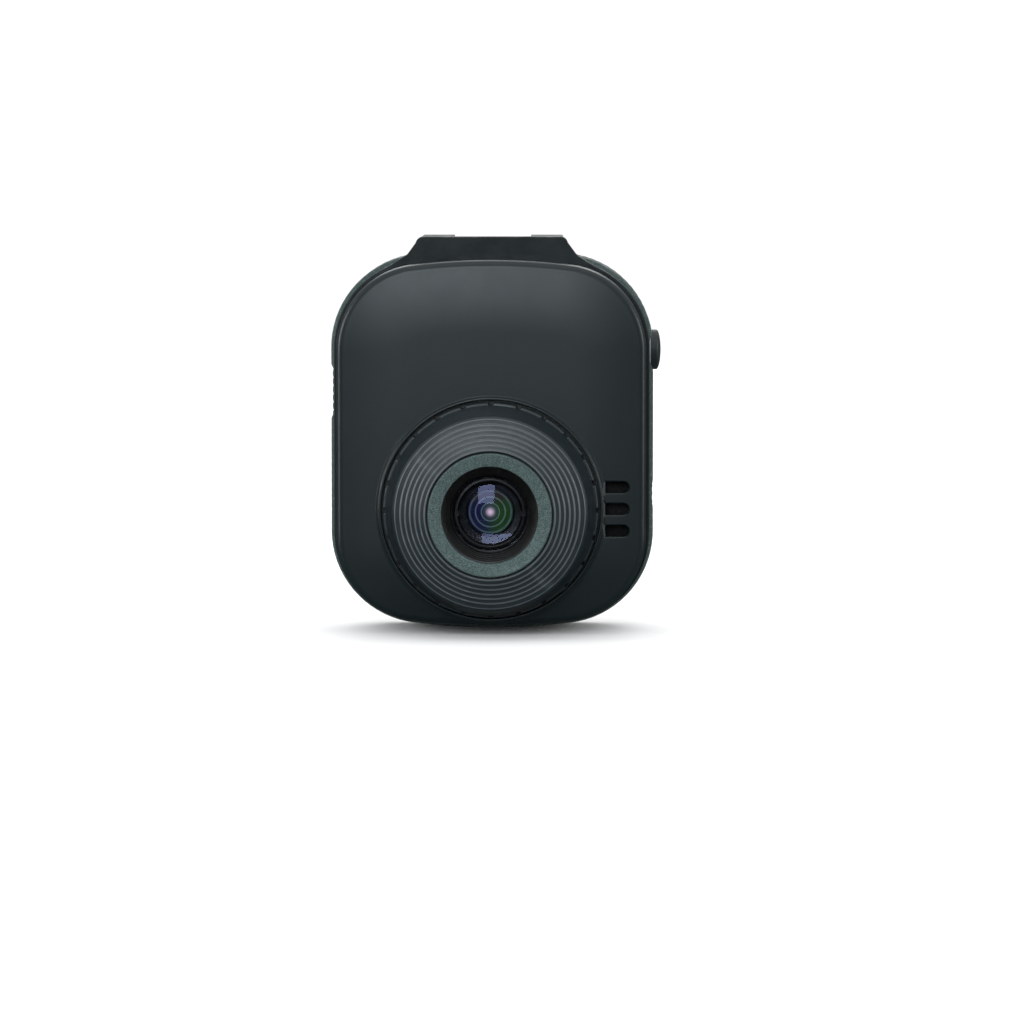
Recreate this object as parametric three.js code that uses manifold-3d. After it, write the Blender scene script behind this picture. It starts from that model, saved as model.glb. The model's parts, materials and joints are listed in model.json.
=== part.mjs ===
// A compact windscreen dash camera, modelled as the separate pieces it comes apart into.
// Millimetres, +Z up. The lens looks along -Y. The origin is on the flat top of the bracket
// shoe, at the middle of the shoe's front wall.
import * as THREE from 'three';
import { mergeVertices } from 'three/addons/utils/BufferGeometryUtils.js';
import Module from 'manifold-3d';

const wasm = await Module();
wasm.setup();

// ---- Body outline, shared by every layer of the casing ----
const BODY_WIDTH = 50;
const BODY_HEIGHT = 58.7;
const CORNER_RADIUS = 14.5;
const EDGE_RADIUS = 100;
const CORNER_STEPS = 6;
const EDGE_STEPS = 4;

// ---- Facets round a full turn ----
const LARGE_STEPS = 32;
const MEDIUM_STEPS = 24;
const BOSS_STEPS = 12;
const SMALL_STEPS = 8;

// ---- Clearances ----
const GAP = 0.3;
const RUNNING_GAP = 0.35;

// ---- Bracket shoe ----
const SHOE_RISE = 2.2;
const SHOE_WIDTH = 22.9;
const SHOE_FRONT_WALL = 2.4;
const SHOE_FLOOR = 1.6;
const SHOE_CORNER = 1;
const SHOE_FLARE_DROP = 2.7;
const SHOE_FLARE_LEAN = 1.55;
const SHOE_SPREAD = 7.55;
const NECK_WIDTH = 12;
const NECK_DEPTH = 2.4;
const FOOT_WIDTH = 16;
const FOOT_DEPTH = 2.6;

// ---- Casing layers, front to back ----
const COVER_INSET = 1.25;
const FRAME_INSET = 0.65;
const COVER_DEPTH = 6.95;
const FRAME_DEPTH = 4.2;
const REAR_DEPTH = 10.2;
const LAYER_GROOVE = 0.35;
const COVER_WALL = 1.4;
const FRAME_WALL = 1.95;
const REAR_WALL = 1.8;
const FACE_THICKNESS = 1.6;
const BACK_THICKNESS = 1.8;
const COVER_EDGE_ROUND = 1.2;
const COVER_CROWN = 0.7;
const REAR_EDGE_ROUND = 1.4;
const LIP_REACH = 2;
const LIP_WALL = 0.95;

// ---- Lens nose ----
const LENS_ABOVE_BOTTOM = 19.35;
const COLLAR_RADIUS = 17.2;
const COLLAR_WALL = 0.4;
const COLLAR_RISE = 1;
const SEAT_DEPTH = 0.6;
const SEAT_FLOOR = 1.8;
const RING_WALL = 1.1;
const RING_RISE = 2.5;
const RING_CHAMFER = 0.3;
const NOTCH_COUNT = 24;
const NOTCH_RADIUS = 0.45;
const SHROUD_NECK_RADIUS = 11;
const SHROUD_NECK_WALL = 1.6;
const SHROUD_SCREW_CIRCLE = 13.8;
const SHROUD_SHOULDER_RADIUS = 16.1;
const SHROUD_RIM_RADIUS = 14.4;
const SHROUD_RIM_RISE = 9.8;
const SHROUD_WALL = 1.5;
const TERRACE_COUNT = 6;
const TERRACE_RISE = 0.42;
const LIP_RADIUS = 10.6;
const NOSE_RISE = 12.5;
const TRIM_RADIUS = 10.05;
const TRIM_BORE = 7.6;
const TRIM_DEPTH = 1.4;
const BAFFLE_DEPTH = 2.4;
const BAFFLE_WALL = 1;
const BAFFLE_END_BORE = 5.9;
const BARREL_HEAD_RADIUS = 7;
const BARREL_HEAD_DEPTH = 5.6;
const BARREL_RADIUS = 6;
const BARREL_BORE = 3.4;
const BARREL_END_BORE = 2.4;
const CELL_DEPTH = 3;
const RETAINER_RADIUS = 5.35;
const RETAINER_BORE = 4.65;
const RETAINER_THICKNESS = 0.9;
const FRONT_GLASS_EDGE = 2;
const FRONT_GLASS_DOME = 0.9;
const INNER_GLASS_THICKNESS = 2;
const SPACER_WALL = 0.7;
const SPACER_LENGTH = 2.9;
const MIDDLE_LENS_SINK = 3;
const BARREL_END_LIP = 2;
const GLASS_SINK = 0.6;
const HOLDER_RADIUS = 8;
const HOLDER_BASE = 18;
const HOLDER_BASE_DEPTH = 2.9;
const HOLDER_LEDGE = 0.9;
const HOLDER_LEDGE_BORE = 3;
const HOLDER_LENGTH = 9;
const SENSOR_SIZE = 6.4;
const SENSOR_THICKNESS = 0.9;
const FILTER_SIZE = 7.4;
const FILTER_THICKNESS = 0.5;

// ---- Speaker ----
const SLOT_HEIGHT = 1.8;
const SLOT_PITCH = 3.35;
const SLOT_COUNT = 3;
const SLOT_END = 21.15;
const SPEAKER_WIDTH = 11;
const SPEAKER_HEIGHT = 13;
const SPEAKER_DEPTH = 3.5;
const GAUZE_THICKNESS = 0.3;
const GAUZE_MARGIN = 0.3;
const GAUZE_LAP = 1;

// ---- Electronics ----
const BOARD_THICKNESS = 1.2;
const BOARD_INSET = 3.4;
const BOARD_PROUD = 0.2;
const BATTERY_WIDTH = 22;
const BATTERY_OFF_CENTRE = 3.4;
const BATTERY_HEIGHT = 29;
const BATTERY_DEPTH = 4;
const PAD_THICKNESS = 0.5;
const PAD_MARGIN = 2;
const LCD_WIDTH = 39;
const LCD_HEIGHT = 33;
const LCD_DEPTH = 2.4;
const WINDOW_WIDTH = 37;
const WINDOW_HEIGHT = 30;
const WINDOW_THICKNESS = 0.8;
const WINDOW_CORNER = 1.5;
const WINDOW_LEDGE = 1.5;
const DISPLAY_BELOW_TOP = 25.8;
const FLEX_WIDTH = 15;
const FLEX_THICKNESS = 0.3;
const FLEX_LANDING = 3;

// ---- Keys ----
const KEY_WIDTH = 5.6;
const KEY_HEIGHT = 3.4;
const KEY_PITCH = 7.2;
const KEY_PROUD = 0.7;
const KEY_FLANGE = 0.4;
const KEY_FLANGE_THICKNESS = 0.7;
const KEY_TRAVEL = 0.4;
const KEYS_ABOVE_BOTTOM = 10.9;
const KEY_BOARD_THICKNESS = 0.8;
const KEY_BOARD_WIDTH = 28.4;
const KEY_BOARD_RISE = 4;
const KEY_BOARD_DROP = 3.2;
const LIGHT_RADIUS = 0.6;
const LIGHT_ABOVE_KEYS = 3.1;
const LED_SIZE = 0.9;
const LED_THICKNESS = 0.6;
const SWITCH_SIZE = 4.5;
const SWITCH_THICKNESS = 1.7;
const BUTTON_RADIUS = 3.1;
const BUTTON_PROUD = 1.2;
const BUTTON_DOME = 0.7;
const BUTTON_TRAVEL = 0.5;
const BUTTON_ABOVE_CENTRE = 13.8;
const BUTTON_BEHIND_FRAME = 4.7;
const BUTTON_FLANGE = 0.25;
const BUTTON_STOP_SINK = 0.3;
const BEZEL_WALL = 0.5;
const BEZEL_SINK = 0.4;
const BEZEL_DEPTH = 1.3;
const SPOT_FACE_MARGIN = 0.75;
const SPOT_FACE_DEPTH = 0.7;

// ---- Sockets ----
const USB_WIDTH = 7.7;
const USB_THICKNESS = 3.9;
const USB_LENGTH = 9.2;
const USB_WALL = 0.4;
const USB_ABOVE_CENTRE = 7.5;
const CARD_WIDTH = 11;
const CARD_LENGTH = 15;
const CARD_THICKNESS = 1;
const CARD_SOCKET_WALL = 0.5;
const CARD_BELOW_CENTRE = 8.4;
const CARD_SINK = 0.6;
const CARD_NOTCH_LENGTH = 6;
const CARD_NOTCH_WIDTH = 1.2;
const SCOOP_FLATTEN = 0.22;
const SCOOP_NARROW = 0.8;
const SCOOP_OFFSET = 1.2;
const MICROPHONE_X = 8.5;
const MICROPHONE_ABOVE_BOTTOM = 3.6;
const MICROPHONE_WIDTH = 4;
const MICROPHONE_HEIGHT = 3;
const MICROPHONE_THICKNESS = 1.2;
const MICROPHONE_HOLE_RADIUS = 0.6;

// ---- Fasteners ----
const SCREW_RADIUS = 1;
const SCREW_HEAD_RADIUS = 1.75;
const SCREW_HEAD_HEIGHT = 1.1;
const SCREW_LENGTH = 15.5;
const BOSS_RADIUS = 2.4;
const COVER_BOSS_RADIUS = 2.2;
const LUG_RADIUS = 2.6;
const UPPER_SCREW = { across: 15.8, fromEdge: 6.2 };
const LOWER_SCREW = { across: 17.2, fromEdge: 7.3 };
const TAB_HALF = 2.2;
const TAB_SINK = 0.2;
const BOARD_SCREW_FROM_SIDE = 5.6;
const BOARD_SCREW_FROM_BOTTOM = 5.8;
const BOARD_SCREW_GRIP = 2.4;
const SMALL_SCREW_RADIUS = 0.8;
const SMALL_HEAD_RADIUS = 1.5;
const SMALL_HEAD_HEIGHT = 0.9;
const SHROUD_SCREW_ANGLES = [60, 180, 300];

// ---- Levels worked out from the sizes above ----
const BODY_TOP = -SHOE_RISE;
const BODY_BOTTOM = BODY_TOP - BODY_HEIGHT;
const BODY_MIDDLE = (BODY_TOP + BODY_BOTTOM) / 2;
const LENS_Z = BODY_BOTTOM + LENS_ABOVE_BOTTOM;
const FRAME_FRONT = -SHOE_FRONT_WALL / 2;
const FRAME_BACK = FRAME_FRONT + FRAME_DEPTH;
const COVER_BACK = FRAME_FRONT - LAYER_GROOVE;
const FACE_Y = COVER_BACK - COVER_DEPTH;
const REAR_FRONT = FRAME_BACK + GAP;
const REAR_BACK = REAR_FRONT + REAR_DEPTH;
const SEAT_Y = FACE_Y + SEAT_DEPTH;
const SEAT_BACK = SEAT_Y + SEAT_FLOOR;
const BOARD_FRONT = FRAME_BACK - BOARD_THICKNESS + BOARD_PROUD;
const BOARD_BACK = BOARD_FRONT + BOARD_THICKNESS;
const LCD_BACK = REAR_BACK - BACK_THICKNESS - GAP;
const LCD_FRONT = LCD_BACK - LCD_DEPTH;
const DISPLAY_Z = BODY_TOP - DISPLAY_BELOW_TOP;
const KEY_Z = BODY_BOTTOM + KEYS_ABOVE_BOTTOM;
const SHOE_BACK = REAR_BACK - GAP;
const TRIM_SEAT = FACE_Y - NOSE_RISE + TRIM_DEPTH + GAP;
const BAFFLE_RADIUS = TRIM_BORE + BAFFLE_WALL;
const BARREL_FRONT = TRIM_SEAT + BAFFLE_DEPTH + GAP;
const GLASS_SHOULDER = BARREL_FRONT + GLASS_SINK;
const BARREL_BACK = BOARD_FRONT - GAP - HOLDER_BASE_DEPTH - GAP;
const BLOCK_HALF = SHOE_WIDTH / 2 - SHOE_CORNER / 2;
const SHOE_BOTTOM = -(NECK_DEPTH + FOOT_DEPTH + SHOE_FLOOR);

// ---- Colours ----
const FINISHES = {
  cover: { color: 0x3a4548, roughness: 0.34, metalness: 0 },
  frame: { color: 0x262f30, roughness: 0.42, metalness: 0 },
  housing: { color: 0x5c645f, roughness: 0.72, metalness: 0 },
  shroud: { color: 0x2a3134, roughness: 0.3, metalness: 0 },
  ring: { color: 0x333c40, roughness: 0.32, metalness: 0 },
  trim: { color: 0x6c8080, roughness: 0.45, metalness: 1 },
  black: { color: 0x0d0e0e, roughness: 0.55, metalness: 0 },
  anodised: { color: 0x16181a, roughness: 0.4, metalness: 0.8 },
  retainer: { color: 0x5c5f61, roughness: 0.35, metalness: 1 },
  glass: { color: 0x0c1420, roughness: 0.03, metalness: 0 },
  board: { color: 0x17452f, roughness: 0.5, metalness: 0 },
  chip: { color: 0x17181a, roughness: 0.6, metalness: 0 },
  steel: { color: 0xb4b6b8, roughness: 0.35, metalness: 1 },
  screw: { color: 0x2c2d2f, roughness: 0.4, metalness: 1 },
  battery: { color: 0xb9bdc2, roughness: 0.4, metalness: 0.6 },
  foam: { color: 0x22201f, roughness: 0.95, metalness: 0 },
  flex: { color: 0x9a6a28, roughness: 0.5, metalness: 0 },
  key: { color: 0x2b3335, roughness: 0.5, metalness: 0 },
  clear: { color: 0x0a0b0c, roughness: 0.05, metalness: 0 },
  diffuser: { color: 0xe6e8e6, roughness: 0.4, metalness: 0 },
};

const camera = new THREE.Group();

// ---- Solids: three.js geometry in, boolean cut or join, three.js geometry out ----

/** Drops the triangles whose corners have merged, and keeps positions only. */
function welded(geometry) {
  const bare = geometry.clone();
  bare.deleteAttribute('normal');
  bare.deleteAttribute('uv');
  const merged = mergeVertices(bare, 1e-4);
  const corners = merged.index.array;
  const kept = [];
  for (let i = 0; i < corners.length; i += 3) {
    const [a, b, c] = [corners[i], corners[i + 1], corners[i + 2]];
    if (a !== b && b !== c && c !== a) kept.push(a, b, c);
  }
  merged.setIndex(kept);
  return merged;
}

/** Turns a closed three.js geometry into a solid that can be cut and joined. */
function solid(geometry) {
  const closed = welded(geometry);
  return new wasm.Manifold(new wasm.Mesh({
    numProp: 3,
    vertProperties: new Float32Array(closed.attributes.position.array),
    triVerts: new Uint32Array(closed.index.array),
  }));
}

/** Adds one named piece to the camera, from a solid and the finish it has. */
function piece(name, shape, finish) {
  const mesh = shape.getMesh();
  const geometry = new THREE.BufferGeometry();
  geometry.setAttribute('position', new THREE.BufferAttribute(mesh.vertProperties, 3));
  geometry.setIndex(new THREE.BufferAttribute(mesh.triVerts, 1));
  geometry.computeVertexNormals();
  const part = new THREE.Mesh(geometry, new THREE.MeshStandardMaterial(FINISHES[finish]));
  part.name = name;
  camera.add(part);
}

const joined = (first, ...others) => others.reduce((sum, next) => sum.add(next), first);
const cut = (first, ...others) => others.reduce((rest, next) => rest.subtract(next), first);

/** A box between two corners. */
function box(x0, x1, y0, y1, z0, z1) {
  const geometry = new THREE.BoxGeometry(x1 - x0, y1 - y0, z1 - z0);
  geometry.translate((x0 + x1) / 2, (y0 + y1) / 2, (z0 + z1) / 2);
  return solid(geometry);
}

/** A flat shape drawn in X and Z, made solid from y0 back to y1. */
function plate(shape, y0, y1, steps = 6) {
  const geometry = new THREE.ExtrudeGeometry(shape, {
    depth: y1 - y0, bevelEnabled: false, curveSegments: steps,
  });
  geometry.rotateX(Math.PI / 2);
  geometry.translate(0, y1, 0);
  return solid(geometry);
}

/** A piece turned about a line along Y: profile points are [radius, y]. */
function turned(profile, x, z, steps = 32) {
  const points = profile.map(([radius, y]) => new THREE.Vector2(radius, y));
  const geometry = new THREE.LatheGeometry(points, steps);
  geometry.translate(x, 0, z);
  return solid(geometry);
}

/** A plain disc or shaft along Y. */
function shaft(radius, y0, y1, x, z, steps = 20) {
  return turned([[0, y0], [radius, y0], [radius, y1], [0, y1]], x, z, steps);
}

/** A washer-like ring along Y. */
function ring(outer, inner, y0, y1, x, z, steps = 32) {
  return turned([[inner, y0], [outer, y0], [outer, y1], [inner, y1], [inner, y0]], x, z, steps);
}

/** Stands a piece turned about Y on the X axis instead, centred on the given y and z. */
function alongX(profile, y, z, steps = 20) {
  const points = profile.map(([radius, x]) => new THREE.Vector2(radius, x));
  const geometry = new THREE.LatheGeometry(points, steps);
  geometry.rotateZ(-Math.PI / 2);
  geometry.translate(0, y, z);
  return solid(geometry);
}

/** A rectangle with round corners, drawn in X and Z about a centre. */
function roundedRectangle(width, height, radius, x, z) {
  const shape = new THREE.Shape();
  const [w, h] = [width / 2 - radius, height / 2 - radius];
  shape.absarc(x + w, z + h, radius, 0, Math.PI / 2);
  shape.absarc(x - w, z + h, radius, Math.PI / 2, Math.PI);
  shape.absarc(x - w, z - h, radius, Math.PI, Math.PI * 1.5);
  shape.absarc(x + w, z - h, radius, Math.PI * 1.5, Math.PI * 2);
  return shape;
}

/** The body outline moved inwards by an inset: two gentle edges, four tangent corners. */
function outline(inset) {
  const side = BODY_WIDTH / 2 - CORNER_RADIUS;
  const lean = Math.asin(side / (EDGE_RADIUS - CORNER_RADIUS));
  const edge = EDGE_RADIUS - BODY_HEIGHT / 2;
  const corner = (EDGE_RADIUS - CORNER_RADIUS) * Math.cos(lean) - edge;
  const quarter = Math.PI / 2;
  const arcs = [
    [0, edge, EDGE_RADIUS, -quarter - lean, -quarter + lean, EDGE_STEPS],
    [side, -corner, CORNER_RADIUS, -quarter + lean, 0, CORNER_STEPS],
    [side, corner, CORNER_RADIUS, 0, quarter - lean, CORNER_STEPS],
    [0, -edge, EDGE_RADIUS, quarter - lean, quarter + lean, EDGE_STEPS],
    [-side, corner, CORNER_RADIUS, quarter + lean, 2 * quarter, CORNER_STEPS],
    [-side, -corner, CORNER_RADIUS, 2 * quarter, 3 * quarter - lean, CORNER_STEPS],
  ];
  const points = [];
  for (const [x, z, radius, start, end, steps] of arcs) {
    const first = radius === EDGE_RADIUS ? 1 : 0;
    const last = radius === EDGE_RADIUS ? steps - 1 : steps;
    for (let i = first; i <= last; i += 1) {
      const angle = start + (end - start) * i / steps;
      points.push(new THREE.Vector2(
        x + (radius - inset) * Math.cos(angle),
        BODY_MIDDLE + z + (radius - inset) * Math.sin(angle),
      ));
    }
  }
  return points;
}

/** A solid through body outlines: each level is [inset, y], given front to back. */
function layered(levels) {
  const rings = levels.map(([inset]) => outline(inset));
  const count = rings[0].length;
  const positions = [];
  rings.forEach((points, level) => {
    for (const point of points) positions.push(point.x, levels[level][1], point.y);
  });
  const triangles = [];
  for (let level = 0; level + 1 < rings.length; level += 1) {
    for (let i = 0; i < count; i += 1) {
      const a = level * count + i;
      const b = level * count + (i + 1) % count;
      triangles.push(b, a, a + count, b, a + count, b + count);
    }
  }
  for (const [a, b, c] of THREE.ShapeUtils.triangulateShape(rings[0], [])) {
    triangles.push(a, b, c);
  }
  const back = (rings.length - 1) * count;
  for (const [a, b, c] of THREE.ShapeUtils.triangulateShape(rings.at(-1), [])) {
    triangles.push(back + c, back + b, back + a);
  }
  const geometry = new THREE.BufferGeometry();
  geometry.setAttribute('position', new THREE.Float32BufferAttribute(positions, 3));
  geometry.setIndex(triangles);
  return solid(geometry);
}

/** A distance in front of the cover's face, as a y. */
const ahead = (distance) => FACE_Y - distance;

/** The four places of the long casing screws. */
const SCREW_PLACES = [
  [-UPPER_SCREW.across, BODY_TOP - UPPER_SCREW.fromEdge],
  [UPPER_SCREW.across, BODY_TOP - UPPER_SCREW.fromEdge],
  [-LOWER_SCREW.across, BODY_BOTTOM + LOWER_SCREW.fromEdge],
  [LOWER_SCREW.across, BODY_BOTTOM + LOWER_SCREW.fromEdge],
];

/** The three places of the small screws that hold the main board to the frame. */
const BOARD_SCREW_PLACES = [
  [-(BODY_WIDTH / 2 - BOARD_SCREW_FROM_SIDE), BODY_MIDDLE - 2],
  [BODY_WIDTH / 2 - BOARD_SCREW_FROM_SIDE, BODY_MIDDLE + 4.6],
  [0, BODY_BOTTOM + BOARD_SCREW_FROM_BOTTOM],
];

/** The three places of the small screws that hold the shroud to the cover. */
const SHROUD_SCREW_PLACES = SHROUD_SCREW_ANGLES.map((degrees) => {
  const angle = THREE.MathUtils.degToRad(degrees);
  return [SHROUD_SCREW_CIRCLE * Math.cos(angle), LENS_Z + SHROUD_SCREW_CIRCLE * Math.sin(angle)];
});

// ---- Room for the speaker and its gauze, between the lens seat and the frame's front lip ----
const LIP_INSIDE = BODY_WIDTH / 2 - COVER_INSET - COVER_WALL - GAP - LIP_WALL;
const SPEAKER_X = LIP_INSIDE - GAP - SPEAKER_WIDTH / 2;
const GAUZE_Y = FACE_Y + COVER_CROWN + FACE_THICKNESS + GAP;
const SPEAKER_Y = Math.max(GAUZE_Y + GAUZE_THICKNESS, SEAT_BACK) + GAP;
const SLOTS_HALF = (SLOT_COUNT - 1) / 2 * SLOT_PITCH + SLOT_HEIGHT / 2;
const SPEAKER_BOX = [
  SPEAKER_X - SPEAKER_WIDTH / 2, SPEAKER_X + SPEAKER_WIDTH / 2,
  SPEAKER_Y, SPEAKER_Y + SPEAKER_DEPTH,
  LENS_Z - SPEAKER_HEIGHT / 2, LENS_Z + SPEAKER_HEIGHT / 2,
];
const GAUZE_BOX = [
  COLLAR_RADIUS - GAUZE_MARGIN, SLOT_END + GAUZE_MARGIN,
  GAUZE_Y, GAUZE_Y + GAUZE_THICKNESS,
  LENS_Z - SLOTS_HALF - GAUZE_LAP, LENS_Z + SLOTS_HALF + GAUZE_LAP,
];

/** A box that is larger than another by the usual gap on every side. */
function roomFor([x0, x1, y0, y1, z0, z1]) {
  return box(x0 - GAP, x1 + GAP, y0 - GAP, y1 + GAP, z0 - GAP, z1 + GAP);
}

// ---- Front cover: crowned face, lens seat with a raised collar, speaker slots, bosses ----
function makeFrontCover() {
  const face = FACE_Y + COVER_CROWN;
  const outer = layered([
    [COVER_INSET + 11, FACE_Y],
    [COVER_INSET + 5, FACE_Y + COVER_CROWN * 0.4],
    [COVER_INSET + COVER_EDGE_ROUND, face],
    [COVER_INSET + COVER_EDGE_ROUND * 0.3, face + COVER_EDGE_ROUND * 0.3],
    [COVER_INSET, face + COVER_EDGE_ROUND],
    [COVER_INSET, COVER_BACK],
  ]);
  const inside = COVER_INSET + COVER_WALL;
  const hollow = layered([
    [inside + 5, FACE_Y + FACE_THICKNESS + COVER_CROWN * 0.4],
    [inside, face + FACE_THICKNESS],
    [inside, COVER_BACK + 1],
  ]);
  const shell = cut(outer, hollow);
  const seat = shaft(COLLAR_RADIUS, ahead(COLLAR_RISE), SEAT_BACK, 0, LENS_Z, LARGE_STEPS);
  const bosses = SCREW_PLACES.map(([x, z]) => (
    shaft(COVER_BOSS_RADIUS, face, COVER_BACK, x, z, BOSS_STEPS)));
  const recess = shaft(COLLAR_RADIUS - COLLAR_WALL, ahead(COLLAR_RISE + 1), SEAT_Y, 0, LENS_Z, LARGE_STEPS);
  const bore = shaft(
    SHROUD_NECK_RADIUS + GAP, ahead(COLLAR_RISE + 1), SEAT_BACK + 1, 0, LENS_Z, MEDIUM_STEPS);
  const pilots = SCREW_PLACES.map(([x, z]) => (
    shaft(SCREW_RADIUS + GAP, face + FACE_THICKNESS, COVER_BACK + 1, x, z, SMALL_STEPS)));
  const screwHoles = SHROUD_SCREW_PLACES.map(([x, z]) => (
    shaft(SMALL_SCREW_RADIUS + GAP, SEAT_Y - 1, SEAT_BACK + 1, x, z, SMALL_STEPS)));
  const slots = speakerSlots();
  return cut(joined(shell, seat, ...bosses), recess, bore, ...pilots, ...screwHoles, ...slots,
    roomFor(SPEAKER_BOX), roomFor(GAUZE_BOX));
}

/** The speaker slots: flat against the lens collar, round at the far end. */
function speakerSlots() {
  const slots = [];
  const radius = SLOT_HEIGHT / 2;
  for (let i = 0; i < SLOT_COUNT; i += 1) {
    const z = LENS_Z + (i - (SLOT_COUNT - 1) / 2) * SLOT_PITCH;
    const shape = new THREE.Shape();
    shape.moveTo(COLLAR_RADIUS + GAP, z - radius);
    shape.lineTo(SLOT_END - radius, z - radius);
    shape.absarc(SLOT_END - radius, z, radius, -Math.PI / 2, Math.PI / 2);
    shape.lineTo(COLLAR_RADIUS + GAP, z + radius);
    slots.push(plate(shape, FACE_Y - 1, FACE_Y + COVER_CROWN + FACE_THICKNESS + 1));
  }
  return slots;
}

// ---- Middle frame: dark rim, lips for the two shells, screw lugs, bracket shoe ----
function makeMidFrame() {
  const rim = cut(
    layered([[FRAME_INSET, FRAME_FRONT], [FRAME_INSET, FRAME_BACK]]),
    layered([[FRAME_INSET + FRAME_WALL, FRAME_FRONT - 1], [FRAME_INSET + FRAME_WALL, FRAME_BACK + 1]]),
  );
  const coverLip = COVER_INSET + COVER_WALL + GAP;
  const frontLip = cut(
    layered([[coverLip, FRAME_FRONT - LIP_REACH], [coverLip, FRAME_FRONT + 1]]),
    layered([[coverLip + LIP_WALL, FRAME_FRONT - LIP_REACH - 1], [coverLip + LIP_WALL, FRAME_FRONT + 2]]),
  );
  const lipBridge = cut(
    layered([[FRAME_INSET + 1, FRAME_FRONT], [FRAME_INSET + 1, FRAME_FRONT + 1]]),
    layered([[coverLip + LIP_WALL, FRAME_FRONT - 1], [coverLip + LIP_WALL, FRAME_FRONT + 2]]),
  );
  const lugs = SCREW_PLACES.map(([x, z]) => shaft(LUG_RADIUS, FRAME_FRONT, FRAME_BACK, x, z, BOSS_STEPS));
  const tabs = BOARD_SCREW_PLACES.map(([x, z]) => boardTab(x, z));
  const holes = SCREW_PLACES.map(([x, z]) => (
    shaft(SCREW_RADIUS + GAP, FRAME_FRONT - 1, FRAME_BACK + 1, x, z, SMALL_STEPS)));
  const bossClearance = SCREW_PLACES.map(([x, z]) => (
    shaft(COVER_BOSS_RADIUS + GAP, FRAME_FRONT - LIP_REACH - 1, FRAME_FRONT - GAP / 2, x, z, BOSS_STEPS)));
  const pilots = BOARD_SCREW_PLACES.map(([x, z]) => (
    shaft(SMALL_SCREW_RADIUS + GAP, FRAME_FRONT - 1, BOARD_FRONT + 1, x, z, SMALL_STEPS)));
  const frame = joined(rim, frontLip, lipBridge, ...lugs, ...tabs, shoeBlock());
  return cut(frame, ...holes, ...bossClearance, ...pilots, shoeSlot(), roomFor(SPEAKER_BOX));
}

/** A tab that reaches in from the frame's wall to a board screw. */
function boardTab(x, z) {
  const front = FRAME_FRONT + TAB_SINK;
  const back = BOARD_FRONT - GAP;
  if (x === 0) {
    return box(-TAB_HALF, TAB_HALF, front, back, BODY_BOTTOM + FRAME_INSET + 1, z + TAB_HALF);
  }
  const wall = BODY_WIDTH / 2 - FRAME_INSET - 1;
  const inner = Math.abs(x) - TAB_HALF;
  const [x0, x1] = x < 0 ? [-wall, -inner] : [inner, wall];
  return box(x0, x1, front, back, z - TAB_HALF, z + TAB_HALF);
}

/** The height of the frame's rim at a distance from the middle, out on its corner arc. */
function rimHeight(x) {
  const side = BODY_WIDTH / 2 - CORNER_RADIUS;
  const reach = EDGE_RADIUS - CORNER_RADIUS;
  const corner = Math.sqrt(reach * reach - side * side) - EDGE_RADIUS + BODY_HEIGHT / 2;
  const radius = CORNER_RADIUS - FRAME_INSET;
  return BODY_MIDDLE + corner + Math.sqrt(radius * radius - (x - side) * (x - side));
}

/** The shoe's outside: a flared front on the rim, and a straight block over the rear housing. */
function shoeBlock() {
  const top = SHOE_WIDTH / 2;
  const foot = top + SHOE_FLARE_LEAN;
  const end = top + SHOE_SPREAD;
  const waist = foot + 1.2;
  const flare = new THREE.Shape();
  flare.moveTo(-end, rimHeight(end));
  flare.quadraticCurveTo(-waist, -SHOE_FLARE_DROP - 0.85, -foot, -SHOE_FLARE_DROP);
  flare.lineTo(-top - 0.3, -SHOE_CORNER);
  flare.quadraticCurveTo(-top, 0, -top + SHOE_CORNER, 0);
  flare.lineTo(top - SHOE_CORNER, 0);
  flare.quadraticCurveTo(top, 0, top + 0.3, -SHOE_CORNER);
  flare.lineTo(foot, -SHOE_FLARE_DROP);
  flare.quadraticCurveTo(waist, -SHOE_FLARE_DROP - 0.85, end, rimHeight(end));
  flare.lineTo(top, SHOE_BOTTOM);
  flare.lineTo(-top, SHOE_BOTTOM);
  const block = box(-BLOCK_HALF, BLOCK_HALF, FRAME_BACK - 1, SHOE_BACK, SHOE_BOTTOM, 0);
  return joined(plate(flare, FRAME_FRONT, FRAME_BACK), block);
}

/** The T-slot that the windscreen bracket's foot slides into from behind. */
function shoeSlot() {
  const front = FRAME_FRONT + SHOE_FRONT_WALL;
  const neck = box(-NECK_WIDTH / 2, NECK_WIDTH / 2, front, SHOE_BACK + 1, -NECK_DEPTH - 0.1, 1);
  const foot = box(-FOOT_WIDTH / 2, FOOT_WIDTH / 2, front, SHOE_BACK + 1,
    -NECK_DEPTH - FOOT_DEPTH, -NECK_DEPTH);
  return joined(neck, foot);
}

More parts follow.
